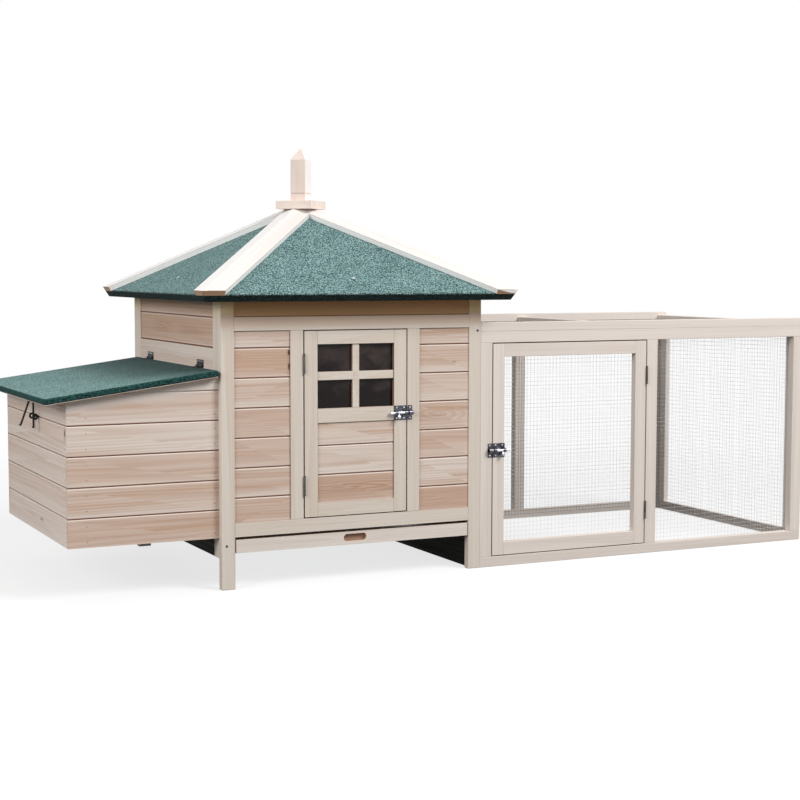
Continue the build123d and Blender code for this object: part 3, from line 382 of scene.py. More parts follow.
# Painted shade under the eave: a darker band, then a warm yellow shade tone, less so on faces that look left
def paintUnderEave(tree, spot, colour, mark):
    front = toned(tree, spot.faceX, mark["front"])
    shadeBand = times(tree, front, spread(tree, spot.z, *mark["shadeBandHeights"]))
    warmShade = times(tree, front, spread(tree, spot.z, *mark["warmShadeHeights"]))
    return blend(tree, warmShade, blend(tree, shadeBand, colour, mark["shadeBand"]), mark["warmShade"])


# Marks that only some pieces have, painted in this order
painters = {
    "underLid": paintUnderLid, "eaveBoard": paintEaveBoard, "half": paintHalf, "recess": paintRecess,
    "edge": paintEdge, "strip": paintStrip, "foot": paintFoot, "underEave": paintUnderEave,
}


# One timber finish, of boards in courses or of sticks. tone is how much sticks differ from each other
def timberMaterial(name, grain, colours, boards=None, tone=0.5, contrast=1.0, marks=None,
                   specular=timber["specular"]):
    material, tree, shader = startMaterial(name, timber["roughness"], specular=specular)
    spot = woodSpot(tree, grain)
    fibre, band, blush = (streak(tree, spot, kind) for kind in ("fibre", "band", "blush"))
    if boards is None:
        radius = stickRadius(tree, spot)
        stickBand = toned(tree, band, toning["stickBand"])
        warmth = plus(tree, times(tree, spot.piece, tone), stickBand, clamp=True)
    else:
        above = aboveLine(tree, spot, boards)
        radius = boardRadius(tree, spot, above)
        warmth = boardWarmth(tree, spot, boards, above, band)
    ring = growthRings(tree, spot, radius)
    colour = blend(tree, warmth, colours["pale"], colours["warm"])
    colour = blend(tree, toned(tree, blush, toning["blush"], contrast), colour, colours["blush"])
    ringShare = times(tree, ring, toned(tree, blush, toning["ring"], contrast))
    colour = blend(tree, ringShare, colour, colours["streak"])
    colour = blend(tree, toned(tree, fibre, toning["darkFibre"], contrast), colour, colours["streak"])
    colour = blend(tree, toned(tree, fibre, toning["lightFibre"], contrast), colour, colours["light"])
    if boards is not None:
        colour = boardKnots(tree, spot, boards, colours, colour, band, fibre)
        colour = boardLines(tree, colours, colour, above)
    for kind, paint in painters.items():
        if marks and kind in marks:
            colour = paint(tree, spot, colour, marks[kind])
    tree.links.new(colour, shader.inputs["Base Color"])
    tree.links.new(toned(tree, fibre, timber["gloss"]), shader.inputs["Roughness"])
    relief = plus(tree, fibre, times(tree, ring, timber["ringBump"]))
    bump(tree, shader, relief, timber["bumpHeight"], timber["bumpStrength"])
    return material


# Mineral felt: coarse granules; the sheet's folded-down edge is painted near black, painted shade
felt = {
    "roughness": 0.95, "specular": 0.12,
    "granule": 0.0038, "granuleRoughness": 0.7,
    "fineScale": 900.0, "fineBump": 0.4,
    "cloudScale": 14.0, "cloud": (0.3, 0.7, -0.012, 0.012),
    "dark": tint(38, 62, 62), "middle": tint(90, 118, 118), "light": tint(148, 179, 177),
    "stops": (0.41, 0.50, 0.59),  # granule values of these three
    # paler on slopes that face left: painted light
    "leftward": (-0.40, -0.25), "paleGranule": tint(156, 196, 190),
    # the house's shade on the lid, painted darker toward the wall
    "houseShadeShares": (0.0, 0.8), "houseShade": tint(38, 60, 59),
    "fray": 0.014, "worn": (0.012, 0.008),  # heights above a worn fold
    "foldGranules": (0.4, 0.65),
    "bumpHeight": 0.0012, "bumpStrength": 0.8,
}


# A sheet gives the upward slants between which its fold begins, the fold's dark and light colours, and the
# shares of the paler colour on slopes that face left, painted light, and on the others. It may give the
# height of a worn fold, or the places between which it is painted darker, painted shade
def feltMaterial(name, sheet):
    material, tree, shader = startMaterial(name, felt["roughness"], specular=felt["specular"])
    coordinates = addNode(tree, "ShaderNodeTexCoord").outputs
    place = coordinates["Object"]
    x, _, height = axesOf(tree, place)
    leftward, _, facing = axesOf(tree, coordinates["Normal"])
    coarse = noise(tree, place, 1 / felt["granule"], rough=felt["granuleRoughness"])
    fine = noise(tree, place, felt["fineScale"])
    cloud = noise(tree, place, felt["cloudScale"], detail=3.0)
    ramp = addNode(tree, "ShaderNodeValToRGB", {0: plus(tree, coarse, toned(tree, cloud, felt["cloud"]))})
    stops = ramp.color_ramp.elements
    stops[0].position, middle, stops[1].position = felt["stops"]
    stops[0].color = felt["dark"]
    stops[1].color = felt["light"]
    stops.new(middle).color = felt["middle"]
    paling = spread(tree, leftward, *felt["leftward"], *sheet["paleShares"])
    colour = blend(tree, paling, ramp.outputs[0], felt["paleGranule"])
    # painted shade toward the house wall
    if "houseShadePlaces" in sheet:
        colour = blend(tree, spread(tree, x, *sheet["houseShadePlaces"], *felt["houseShadeShares"]), colour, felt["houseShade"])
    # painted shade on faces that turn down
    folded = spread(tree, facing, *sheet["foldSlants"])
    if "wornFold" in sheet:  # granules worn off along the fold
        ragged = plus(tree, height, times(tree, coarse, felt["fray"]))
        worn = spread(tree, ragged, *(sheet["wornFold"] + rise for rise in felt["worn"]))
        folded = calc(tree, "MAXIMUM", folded, worn)
    edge = blend(tree, spread(tree, coarse, *felt["foldGranules"]), sheet["foldDark"], sheet["foldLight"])
    tree.links.new(blend(tree, folded, colour, edge), shader.inputs["Base Color"])
    relief = plus(tree, coarse, times(tree, fine, felt["fineBump"]))
    bump(tree, shader, relief, felt["bumpHeight"], felt["bumpStrength"])
    return material


metal = {
    "scratchRoughness": 0.7, "tarnish": (0.35, 0.7),
    "gloss": (0.3, 0.7, 0.7, 1.4),  # shares of the roughness by scratch
    "bumpHeight": 0.0002, "bumpStrength": 0.3,
    "lacquer": tint(15, 16, 17),
}


# Metals: a brushed or plated base with fine scratches and slight tarnish, lacquered black left of blackUpTo
def metalMaterial(name, base, worn, roughness, metallic, scratchScale=240.0, patchScale=30.0, specular=0.5,
                  blackUpTo=None):
    material, tree, shader = startMaterial(name, roughness, metallic, specular)
    place = addNode(tree, "ShaderNodeTexCoord").outputs["Object"]
    patch = noise(tree, place, patchScale, detail=3.0)
    fine = noise(tree, place, scratchScale, detail=3.0, rough=metal["scratchRoughness"])
    colour = blend(tree, spread(tree, patch, *metal["tarnish"]), base, worn)
    if blackUpTo is not None:
        lacquered = calc(tree, "LESS_THAN", axesOf(tree, place)[0], blackUpTo)
        colour = blend(tree, lacquered, colour, metal["lacquer"])
        bare = calc(tree, "SUBTRACT", metallic, lacquered, clamp=True)
        tree.links.new(bare, shader.inputs["Metallic"])
    tree.links.new(colour, shader.inputs["Base Color"])
    tree.links.new(toned(tree, fine, metal["gloss"], roughness), shader.inputs["Roughness"])
    bump(tree, shader, fine, metal["bumpHeight"], metal["bumpStrength"])
    return material


pane = {
    "roughness": 0.08, "specular": 0.2, "alpha": 0.92,
    "clear": tint(26, 19, 18), "reflectedTint": tint(66, 56, 53),
    "rise": (0.48, 0.64, -0.1, 0.15),  # painted reflection, lighter toward the top
    "patchScale": 16.0, "patchRoughness": 0.6, "reflection": (0.4, 0.8),
    "smearScale": 90.0, "smearRoughness": 0.7, "gloss": (0.3, 0.8, 0.05, 0.22),
}


# A smoky pane, painted lighter toward the top and in soft patches: painted reflection
def paneMaterial(name):
    material, tree, shader = startMaterial(name, pane["roughness"], specular=pane["specular"])
    place = addNode(tree, "ShaderNodeTexCoord").outputs["Object"]
    patch = noise(tree, place, pane["patchScale"], detail=3.0, rough=pane["patchRoughness"])
    smear = noise(tree, place, pane["smearScale"], detail=3.0, rough=pane["smearRoughness"])
    reflection = plus(tree, toned(tree, axesOf(tree, place)[2], pane["rise"]), patch)
    colour = blend(tree, spread(tree, reflection, *pane["reflection"]), pane["clear"], pane["reflectedTint"])
    tree.links.new(colour, shader.inputs["Base Color"])
    tree.links.new(toned(tree, smear, pane["gloss"]), shader.inputs["Roughness"])
    shader.inputs["Alpha"].default_value = pane["alpha"]
    return material


def woodColours(**screenColours):
    return {name: tint(*colour) for name, colour in screenColours.items()}


frameWood = woodColours(pale=(217, 207, 196), warm=(205, 190, 175), blush=(206, 187, 170),
                        streak=(182, 158, 139), light=(226, 218, 209))
runWood = woodColours(pale=(225, 215, 207), warm=(211, 199, 189), blush=(211, 194, 182),
                      streak=(187, 168, 154), light=(235, 227, 220))
stripWood = woodColours(pale=(228, 224, 221), warm=(221, 214, 208), blush=(219, 207, 200),
                        streak=(204, 188, 177), light=(232, 229, 227))
plateWood = woodColours(pale=(240, 225, 215), warm=(232, 215, 203), blush=(228, 206, 192),
                        streak=(208, 184, 168), light=(245, 234, 226))
finialWood = woodColours(pale=(231, 215, 205), warm=(225, 208, 197), blush=(223, 203, 190),
                         streak=(206, 185, 172), light=(236, 223, 215))
boardWood = woodColours(pale=(220, 207, 197), warm=(194, 163, 143), blush=(195, 163, 138),
                        streak=(162, 126, 105), light=(225, 214, 205))

# Walls of boards. base is the height of the lowest line. Knots and swirls give a place along the wall, a
# height, half a width, half a height and a depth of colour
frontBoards = {
    "base": 0.1635, "split": legLow.x + 0.390,
    "tones": (0.67, 0.56, 0.58, 0.62, 0.45, 0.92, 0.40, 0.4, 0.4),
    "rightTones": (1.0, 0.07, 0.60, 0.60, 0.40, 0.47, 0.55, 0.4, 0.4),
    "knots": (
        (legLow.x + 0.1945, 0.630, 0.0034, 0.008, 0.95), (legLow.x + 0.1950, 0.593, 0.0030, 0.010, 0.9),
        (legLow.x + 0.6963, 0.594, 0.006, 0.0020, 0.4),
    ),
    "swirls": ((legLow.x + 0.645, 0.447, 0.030, 0.0080, 0.28),),
}
backBoards = {"base": frontBoards["base"], "tones": frontBoards["tones"]}
doorBoards = {
    "base": 0.2135, "tones": (0.9, 0.15, 0.35),
    "swirls": ((legLow.x + 0.34, 0.256, 0.090, 0.0060, 0.6),),
}
sideBoards = {
    "base": 0.0035, "tones": (0.5, 0.4, 0.6, 0.4, 0.5, 0.4, 0.35, 0.6, 0.95, 1.0),
    "swirls": (
        (legLow.y + 0.51, 0.684, 0.022, 0.0046, 0.75), (legLow.y + 0.27, 0.684, 0.026, 0.0038, 0.6),
    ),
}
# the fifth course is set paler, painted light against the lid's shadow
nestFront = {"base": 0.133, "tones": (0.66, 0.40, 0.52, 0.10, 0.30, 0.4)}
nestEnd = {
    "base": nestFront["base"], "tones": (0.05, 0.20, 0.15, 0.22, 0.2, 0.2),
    "knots": (
        (legLow.y + 0.0354, 0.434, 0.006, 0.010, 0.9), (legLow.y + 0.2986, 0.1776, 0.012, 0.0030, 0.6),
    ),
}

# painted light under the lid
underLid = {"underLid": {"depths": (0.045, 0.008, 0.0, 0.9), "underLidLight": tint(252, 244, 238)}}
# painted shade under the eave and a painted shadow line on the top rail
eaveBoard = {"eaveBoard": {
    "heights": (eaveBoardFoot - 0.004, eaveBoardFoot, 0.0, 0.9), "shade": tint(208, 164, 116),
    "seamShadowHeights": (eaveBoardFoot + 0.006, eaveBoardFoot + 0.004), "seamShadow": tint(120, 78, 46),
}}
# painted light on the finial's right half
finialLitHalf = {"half": {"middle": roofMiddle.x, "share": 0.8, "other": tint(250, 245, 241)}}
# painted shade in the pull's recess, its colour kept under rough
pullRecessShade = {"recess": {
    "depths": (legLow.y + 0.0012, legLow.y + 0.0028, 0.0, 0.85), "rough": tint(158, 118, 88),
}}
# painted shade in the gaps round doors and between sticks
gapShade = {"edge": {"narrow": (0.85, 0.5, 0.0, 0.85), "brown": tint(112, 74, 52)}}
leafGapShade = {"edge": {**gapShade["edge"], "leaf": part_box("run_door_stiles"), "rim": 0.003}}
# painted light on the left tops and the sides
stripFaces = {"strip": {
    "left": (-0.2, -0.3), "top": (0.7, 0.8), "leftTopLight": tint(243, 240, 238),
    "side": (-0.20, -0.26), "planed": tint(250, 248, 246),
    "edge": ((0.84, 0.70), (0.0, 0.15)), "outside": 0.012, "arris": tint(142, 116, 98),
    "end": (-0.36, -0.42), "sawnEnd": tint(178, 142, 114),
}}
# painted shade under the house, on the lowest boards that face left
footShade = {"foot": {
    "left": (-0.4, -0.6), "heights": (frontBoards["base"], frontBoards["base"] - 0.006),
    "footShadeColour": tint(12, 10, 7),
}}
# a low specular keeps the painted shade dark
footShadeSpecular = 0.04
# painted shade on the sticks under the eave
underEave = {"underEave": {
    "front": (-0.7, -0.3, 0.35, 0.9),
    "shadeBandHeights": (eaveBoardFoot - 0.035, eaveBoardFoot - 0.012), "shadeBand": tint(208, 185, 166),
    "warmShadeHeights": (eaveBoardFoot, eaveBoardFoot + 0.02), "warmShade": tint(246, 222, 172),
}}
roofSheet = {
    "foldSlants": (0.45, 0.30), "foldDark": tint(14, 22, 22), "foldLight": tint(46, 62, 60),
    "paleShares": (0.08, 0.0), "wornFold": eaveHeight,
}
lidSheet = {
    "foldSlants": (0.94, 0.86), "foldDark": tint(16, 36, 35), "foldLight": tint(50, 90, 86),
    "paleShares": (0.16, 0.16), "houseShadePlaces": (legLow.x - 0.30, legLow.x),
}

finishes = {
    "legs": timberMaterial("legTimber", "Z", frameWood, contrast=0.5, marks=underEave),
    "doorUpright": timberMaterial("doorUprightTimber", "Z", frameWood, contrast=0.5, marks=gapShade),
    "rails": timberMaterial("railTimber", "X", frameWood, contrast=0.5, marks={**gapShade, **underEave}),
    "sideRails": timberMaterial("sideRailTimber", "Y", boardWood, tone=0.3, contrast=0.6, marks=footShade,
                                specular=footShadeSpecular),
    "trayFront": timberMaterial("trayFrontTimber", "X", runWood, contrast=0.5, marks=pullRecessShade),
    "runUpright": timberMaterial("runUprightTimber", "Z", runWood, contrast=0.5),
    "runLevel": timberMaterial("runLevelTimber", "X", runWood, contrast=0.5),
    "runCross": timberMaterial("runCrossTimber", "Y", runWood, contrast=0.5),
    "runDoorUpright": timberMaterial("runDoorUprightTimber", "Z", runWood, contrast=0.5, marks=leafGapShade),
    "runDoorLevel": timberMaterial("runDoorLevelTimber", "X", runWood, contrast=0.5, marks=leafGapShade),
    "frontBoards": timberMaterial("frontBoardTimber", "X", boardWood, frontBoards, contrast=1.25,
                                  marks=eaveBoard),
    "nestFront": timberMaterial("nestFrontTimber", "X", boardWood, nestFront, contrast=1.25,
                                marks=underLid),
    "nestEnd": timberMaterial("nestEndTimber", "Y", boardWood, nestEnd),
    "door": timberMaterial("doorBoardTimber", "X", boardWood, doorBoards, contrast=1.25),
    "sideWall": timberMaterial("sideWallTimber", "Y", boardWood, sideBoards, marks=footShade,
                               specular=footShadeSpecular),
    "backWall": timberMaterial("backWallTimber", "X", boardWood, backBoards),
    "sheet": timberMaterial("sheetTimber", "X", boardWood, tone=0.6),
    "hipStrip": timberMaterial("hipTimber", "hip", stripWood, contrast=0.6, marks=stripFaces),
    "roofPlate": timberMaterial("roofPlateTimber", "X", plateWood, contrast=0.6),
    "finial": timberMaterial("finialTimber", "Z", finialWood, contrast=0.7, marks=finialLitHalf),
    "roofFelt": feltMaterial("roofFelt", roofSheet),
    "lidFelt": feltMaterial("lidFelt", lidSheet),
    "pane": paneMaterial("windowPane"),
    # metals: clean colour, worn colour, roughness and metallic share
    "blackSteel": metalMaterial("blackSteel", tint(13, 14, 15), tint(24, 25, 27), 0.5, 0.0, specular=0.25),
    "hingeSteel": metalMaterial("hingeSteel", tint(104, 98, 94), tint(70, 66, 64), 0.4, 0.7, specular=0.15,
                                blackUpTo=legLow.x + 0.01),
    "boltPlate": metalMaterial("boltPlate", tint(96, 97, 104), tint(58, 58, 64), 0.25, 1.0,
                               patchScale=90.0),
    "brightSteel": metalMaterial("brightSteel", tint(222, 223, 226), tint(172, 174, 180), 0.16, 1.0),
    "smallScrew": metalMaterial("smallScrew", tint(196, 198, 204), tint(160, 162, 168), 0.3, 0.9),
    "screw": metalMaterial("screwSteel", tint(74, 82, 96), tint(54, 58, 66), 0.4, 0.8),
    "feltNail": metalMaterial("feltNail", tint(205, 214, 226), tint(180, 190, 204), 0.4, 0.2),
    "galvanised": metalMaterial("galvanisedSheet", tint(176, 180, 184), tint(150, 154, 160), 0.38, 0.9,
                                scratchScale=120.0, patchScale=70.0),
    # painted light on the open wire, painted shade where it lies on timber
    "wire": metalMaterial("paintedLightWire", tint(214, 216, 218), tint(194, 196, 198), 0.45, 0.2),
    "paintedShadeWire": metalMaterial("paintedShadeWire", tint(44, 38, 38), tint(28, 24, 24), 0.6, 0.1,
                                   specular=0.2),
}
dressing = {
    "legs": ["legs", "side_wall_posts", "nest_battens"],
    "doorUpright": ["front_door_posts", "house_door_stiles"],
    "rails": ["house_rails", "house_door_rails", "house_door_muntins"],
    "trayFront": ["tray_front"],
    "sideRails": ["side_wall_rails", "hatch_guides", "perch", "tray_runners"],
    "runUpright": ["run_side_posts", "run_end_posts", "door_stops"],
    "runLevel": ["run_side_rails", "run_top_rails"],
    "runDoorUpright": ["run_door_stiles"],
    "runDoorLevel": ["run_door_rails"],
    "runCross": ["run_end_rails", "run_top_bars"],
    "frontBoards": ["front_boards"],
    "backWall": ["back_boards"],
    "sideWall": ["left_wall_boards", "right_wall_boards"],
    "nestFront": ["nest_side_boards"],
    "nestEnd": ["nest_end_boards"],
    "door": ["house_door_boards"],
    "sheet": ["hatch_door", "roof_panels", "nest_floor", "nest_divider", "nest_lid_board"],
    "hipStrip": ["hip_strips"],
    "roofPlate": ["roof_plate"],
    "finial": ["finial"],
    "roofFelt": ["roof_felts"],
    "lidFelt": ["nest_lid_felt"],
    "hingeSteel": ["fixed_hinge_leaves", "house_door_leaves", "run_door_leaves", "hinge_pins"],
    "blackSteel": ["nest_lid_leaves"],
    "boltPlate": ["bolt_keepers", "house_bolt_barrel", "run_bolt_barrel"],
    "brightSteel": ["house_bolt_rod", "run_bolt_rod"],
    "galvanised": ["tray_pan"],
    "pane": ["house_door_pane"],
}
weldReach = 0.00002  # joins the faces of a board or stick, so that it counts as one
softEdge = {
    "legs": 0.0012, "sideRails": 0.0012, "runUpright": 0.0012, "runLevel": 0.0012, "runCross": 0.0012,
    "finial": 0.0012, "rails": 0.0010, "doorUpright": 0.0010, "runDoorUpright": 0.0010,
    "runDoorLevel": 0.0010, "hipStrip": 0.0010, "roofPlate": 0.0010, "trayFront": 0.0008,
}
for finish, names in dressing.items():
    for name in names:
        node = nodes[name]
        node.data.materials.clear()
        node.data.materials.append(finishes[finish])
        weld = node.modifiers.new("weld", "WELD")
        weld.merge_threshold = weldReach
        if finish in softEdge:
            soften = node.modifiers.new("soften", "BEVEL")
            soften.width = softEdge[finish]
            soften.segments = 2
            soften.limit_method = "ANGLE"
            soften.harden_normals = True
print("finishes:", len(finishes))


# A new piece from plain lists, riding on its body and hiding the parts it replaces
def addPiece(name, vertices, faces, body, finish, replaced=()):
    mesh = bpy.data.meshes.new(name)
    mesh.from_pydata(vertices, [], faces)
    mesh.validate()
    mesh.materials.append(finishes[finish])
    piece = bpy.data.objects.new(name, mesh)
    scene.collection.objects.link(piece)
    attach(piece, body)
    if replaced:
        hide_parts(*replaced)
    return piece


def circle(middle, radius, first, second, count):
    points = []
    for number in range(count):
        turn = 2 * math.pi * number / count
        points.append(middle + first * (radius * math.cos(turn)) + second * (radius * math.sin(turn)))
    return points


# Faces between two circles of points, the second straight after the first
def circleWall(low, sides):
    wall = []
    for number in range(sides):
        after = (number + 1) % sides
        wall.append((low + number, low + after, low + sides + after, low + sides + number))
    return wall


# Welded mesh at its true pitch: two layers of crossing wires, sunk into each other where they are welded. It
# is painted bright in the open, painted light, and painted dark where it lies on the timber, painted shade
runWire = {
    "pitch": 0.0127, "radius": 0.0003, "sides": 6,
    "layers": (1.0, 2.7),  # depth of each layer in radii
    "lap": 0.015, "sideLap": 0.0108,  # how far a sheet's edges lie on timber, and those across the run
    "stray": 0.00025, "seed": 12,
    "gap": (1.343, 1.351),  # where a first sheet ends and a second one starts
}
strays = random.Random(runWire["seed"])


def lapAlong(direction):
    return runWire["sideLap"] if abs(direction.y) > 0.5 else runWire["lap"]


# A wire of one or three lengths. faces holds a list for the lengths painted lit and one for those painted
# shaded
def wirePrism(vertices, faces, base, along, size, inShade, across, deep):
    first = len(vertices)
    sides, lap = runWire["sides"], lapAlong(along)
    places = (0.0, size) if inShade else (0.0, lap, size - lap, size)
    kinds = ("inShade",) if inShade else ("inShade", "inLight", "inShade")
    for place in places:
        vertices.extend(circle(base + along * place, runWire["radius"], across, deep, sides))
    for level, kind in enumerate(kinds):
        faces[kind].extend(circleWall(first + level * sides, sides))
    last = first + len(kinds) * sides
    faces["inShade"].append(tuple(first + number for number in reversed(range(sides))))
    faces["inShade"].append(tuple(last + number for number in range(sides)))


# Wires one way, counted across their span, each from the sheet's edge to its other edge
def wireRow(vertices, faces, corner, across, span, along, size, deep, layer):
    radius, stray = runWire["radius"], runWire["stray"]
    count = round(span / runWire["pitch"])
    for number in range(count + 1):
        slip = strays.uniform(-stray, stray) if 0 < number < count else 0.0
        step = radius + (span - 2 * radius) * number / count + slip
        inShade = min(step, span - step) < lapAlong(across)
        base = corner + across * step + deep * (radius * layer)
        wirePrism(vertices, faces, base, along, size, inShade, across, deep)


def wireSheet(vertices, faces, corner, across, up, deep, wide, tall):
    outer, inner = runWire["layers"]
    wireRow(vertices, faces, corner, across, wide, up, tall, deep, outer)
    wireRow(vertices, faces, corner, up, tall, across, wide, deep, inner)


# piece, node, body, directions across, up and into the run, and whether it is of two sheets
meshes = (
    ("runFrontWire", "run_front_mesh", "coop", axisX, axisZ, axisY, False),
    ("runDoorWire", "run_door_mesh", "run_door", axisX, axisZ, axisY, False),
    ("runBackWire", "run_back_mesh", "coop", axisX, axisZ, -axisY, True),
    ("runEndWire", "run_end_mesh", "coop", axisY, axisZ, -axisX, False),
    ("runTopWire", "run_top_mesh", "coop", axisX, axisY, -axisZ, True),
)
for pieceName, nodeName, body, across, up, deep, inTwo in meshes:
    low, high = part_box(nodeName)
    corner = Vector([high[i] if deep[i] < 0 else low[i] for i in range(3)])
    wide, tall = (high - low).dot(across), (high - low).dot(up)
    firstEnd, secondStart = (legLow.x + place - low.x for place in runWire["gap"])
    stretches = ((0.0, firstEnd), (secondStart, wide)) if inTwo else ((0.0, wide),)
    vertices, faces = [], {"inLight": [], "inShade": []}
    for start, end in stretches:
        wireSheet(vertices, faces, corner + across * start, across, up, deep, end - start, tall)
    inLight, inShade = faces["inLight"], faces["inShade"]
    sheet = addPiece(pieceName, vertices, inLight + inShade, body, "wire", (nodeName,))
    sheet.data.materials.append(finishes["paintedShadeWire"])
    sheet.data.polygons.foreach_set("material_index", [0] * len(inLight) + [1] * len(inShade))
print("wire mesh made")


# Bent wire: each run of points becomes a smooth round tube
def wireForm(name, runs, radius, body, finish, replaced):
    curve = bpy.data.curves.new(name + "Line", "CURVE")
    curve.dimensions = "3D"
    curve.bevel_depth = radius
    curve.bevel_resolution = 4
    curve.use_fill_caps = True
    curve.resolution_u = 6
    for points, closed in runs:
        line = curve.splines.new("NURBS")
        line.points.add(len(points) - 1)
        for point, target in zip(points, line.points):
            target.co = (*point, 1.0)
        line.use_cyclic_u = closed
        line.use_endpoint_u = not closed
        line.order_u = 3
    holder = bpy.data.objects.new(name + "Line", curve)
    scene.collection.objects.link(holder)
    tube = bpy.data.meshes.new_from_object(holder.evaluated_get(bpy.context.evaluated_depsgraph_get()))
    vertices = [vertex.co.copy() for vertex in tube.vertices]
    faces = [tuple(face.vertices) for face in tube.polygons]
    bpy.data.objects.remove(holder)
    piece = addPiece(name, vertices, faces, body, finish, replaced)
    piece.data.polygons.foreach_set("use_smooth", [True] * len(piece.data.polygons))


hooks = {
    "wire": 0.0028,
    "ring": 0.006, "ringPoints": 16,
    "stem": 0.004,  # of a screw eye
    "loopDrop": 0.0067,  # from the lid's eye to the loop that hangs in it
    "shank": 0.066,
    "bend": 0.005,
    "bendUp": (2.0, 0.4), "bendAside": (0.4, 1.4),  # points round the bend, in bends from its corner
    "tip": 0.009,
    "lean": 20.0,  # degrees
    "wallEyeAside": 0.014,
}


# Control points stand a little outside the circle that the smooth line follows
def eyePoints(middle, first, second):
    reach = hooks["ring"] / math.cos(math.pi / hooks["ringPoints"])
    return circle(middle, reach, first, second, hooks["ringPoints"])


lidTilt = math.atan(lidFall)
lidNormal = Vector((-math.sin(lidTilt), 0, math.cos(lidTilt)))
wallLow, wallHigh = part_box("wall_hook_eyes")
ring, stem, bend = hooks["ring"], hooks["stem"], hooks["bend"]
loopMiddle = -axisZ * hooks["loopDrop"]
shankTop = loopMiddle - axisZ * ring
shankEnd = shankTop - axisZ * hooks["shank"]
shank = [shankTop]
shank += [shankEnd + axisZ * bend * share for share in hooks["bendUp"]]
shank += [shankEnd + axisY * bend * share for share in hooks["bendAside"]]
shank.append(shankEnd + axisY * hooks["tip"])
loop = eyePoints(loopMiddle, axisY, axisZ)
lidRuns, wallRuns = [], []
for pieceName, nodeName, lean in (
    ("straightHookWire", "straight_hook", 0.0),
    ("leaningHookWire", "leaning_hook", hooks["lean"]),
):
    middle = Vector(joints[nodeName + "_swing"]["pos_m"])
    lidRuns.append((eyePoints(middle, axisX, axisZ), True))
    lidRuns.append(([middle + lidNormal * ring, middle + lidNormal * (ring + stem)], False))
    foot = Vector((wallHigh.x, middle.y + hooks["wallEyeAside"], (wallLow.z + wallHigh.z) / 2))
    wallRuns.append((eyePoints(foot - axisX * (stem + ring), axisX, axisZ), True))
    wallRuns.append(([foot - axisX * stem, foot], False))
    turn = Matrix.Translation(middle) @ Matrix.Rotation(math.radians(lean), 4, "Y")
    hookRuns = [([turn @ point for point in loop], True), ([turn @ point for point in shank], False)]
    wireForm(pieceName, hookRuns, hooks["wire"], nodeName, "blackSteel", (nodeName,))
wireForm("lidHookEyes", lidRuns, hooks["wire"], "nest_lid", "blackSteel", ("lid_hook_eyes",))
wireForm("wallHookEyes", wallRuns, hooks["wire"], "coop", "blackSteel", ("wall_hook_eyes",))
print("hooks made")


headShape = {
    "sides": 12,
    "sunk": 0.0003,
    "profile": ((1.0, 0.45), (0.72, 1.0), (0.3, 0.92)),  # shares of radius and height, from the rim in
    "middle": 0.6,
}


# Low domed heads of nails and screws, each on its spot and facing out
def heads(name, spots, radius, height, body, finish):
    vertices, faces = [], []
    sides = headShape["sides"]
    profile = [(radius, -headShape["sunk"])]
    profile += [(radius * wide, height * tall) for wide, tall in headShape["profile"]]
    for spot, out in spots:
        first = out.orthogonal().normalized()
        second = out.cross(first)
        start = len(vertices)
        for circleRadius, lift in profile:
            vertices.extend(circle(spot + out * lift, circleRadius, first, second, sides))
        for level in range(len(profile) - 1):
            faces.extend(circleWall(start + level * sides, sides))
        top, tip = len(vertices) - sides, len(vertices)
        vertices.append(spot + out * height * headShape["middle"])
        faces.extend((top + number, top + (number + 1) % sides, tip) for number in range(sides))
    addPiece(name, vertices, faces, body, finish)


nails = {
    "radius": 0.0012, "height": 0.0004,
    "courses": 5, "up": (0.020, 0.060),  # heights in each board
    "clear": 0.008, "highest": 0.500,  # none nearer to the boards' lower edge, none above
    "atHouse": 0.012, "atCorner": 0.050,
}
endLow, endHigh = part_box("nest_end_boards")
spots = []
for course in range(nails["courses"]):
    for rise in nails["up"]:
        z = nestFront["base"] + cladding["cover"] * course + rise
        if z < nestLow.z + nails["clear"] or z > nails["highest"]:
            continue
        for x in (nestLow.x + nails["atCorner"], nestHigh.x - nails["atHouse"]):
            spots.append((Vector((x, nestLow.y, z)), -axisY))
            spots.append((Vector((x, nestHigh.y, z)), axisY))
        for y in (endLow.y + nails["atHouse"], endHigh.y - nails["atHouse"]):
            spots.append((Vector((endLow.x, y, z)), -axisX))
heads("nestNails", spots, nails["radius"], nails["height"], "coop", "screw")

legScrew = {
    "radius": 0.0036, "height": 0.0009,
    "leftInset": 0.014, "leftHeight": 0.118, "rightInset": 0.011, "rightHeight": 0.681,
}
spots = []
for y, out in ((legLow.y, -axisY), (legHigh.y, axisY)):
    spots.append((Vector((legLow.x + legScrew["leftInset"], y, legScrew["leftHeight"])), out))
    spots.append((Vector((legHigh.x - legScrew["rightInset"], y, legScrew["rightHeight"])), out))
heads("legScrews", spots, legScrew["radius"], legScrew["height"], "coop", "screw")

smallScrew = {"radius": 0.0026, "height": 0.0010}


def smallScrews(name, spots, body):
    heads(name, spots, smallScrew["radius"], smallScrew["height"], body, "smallScrew")


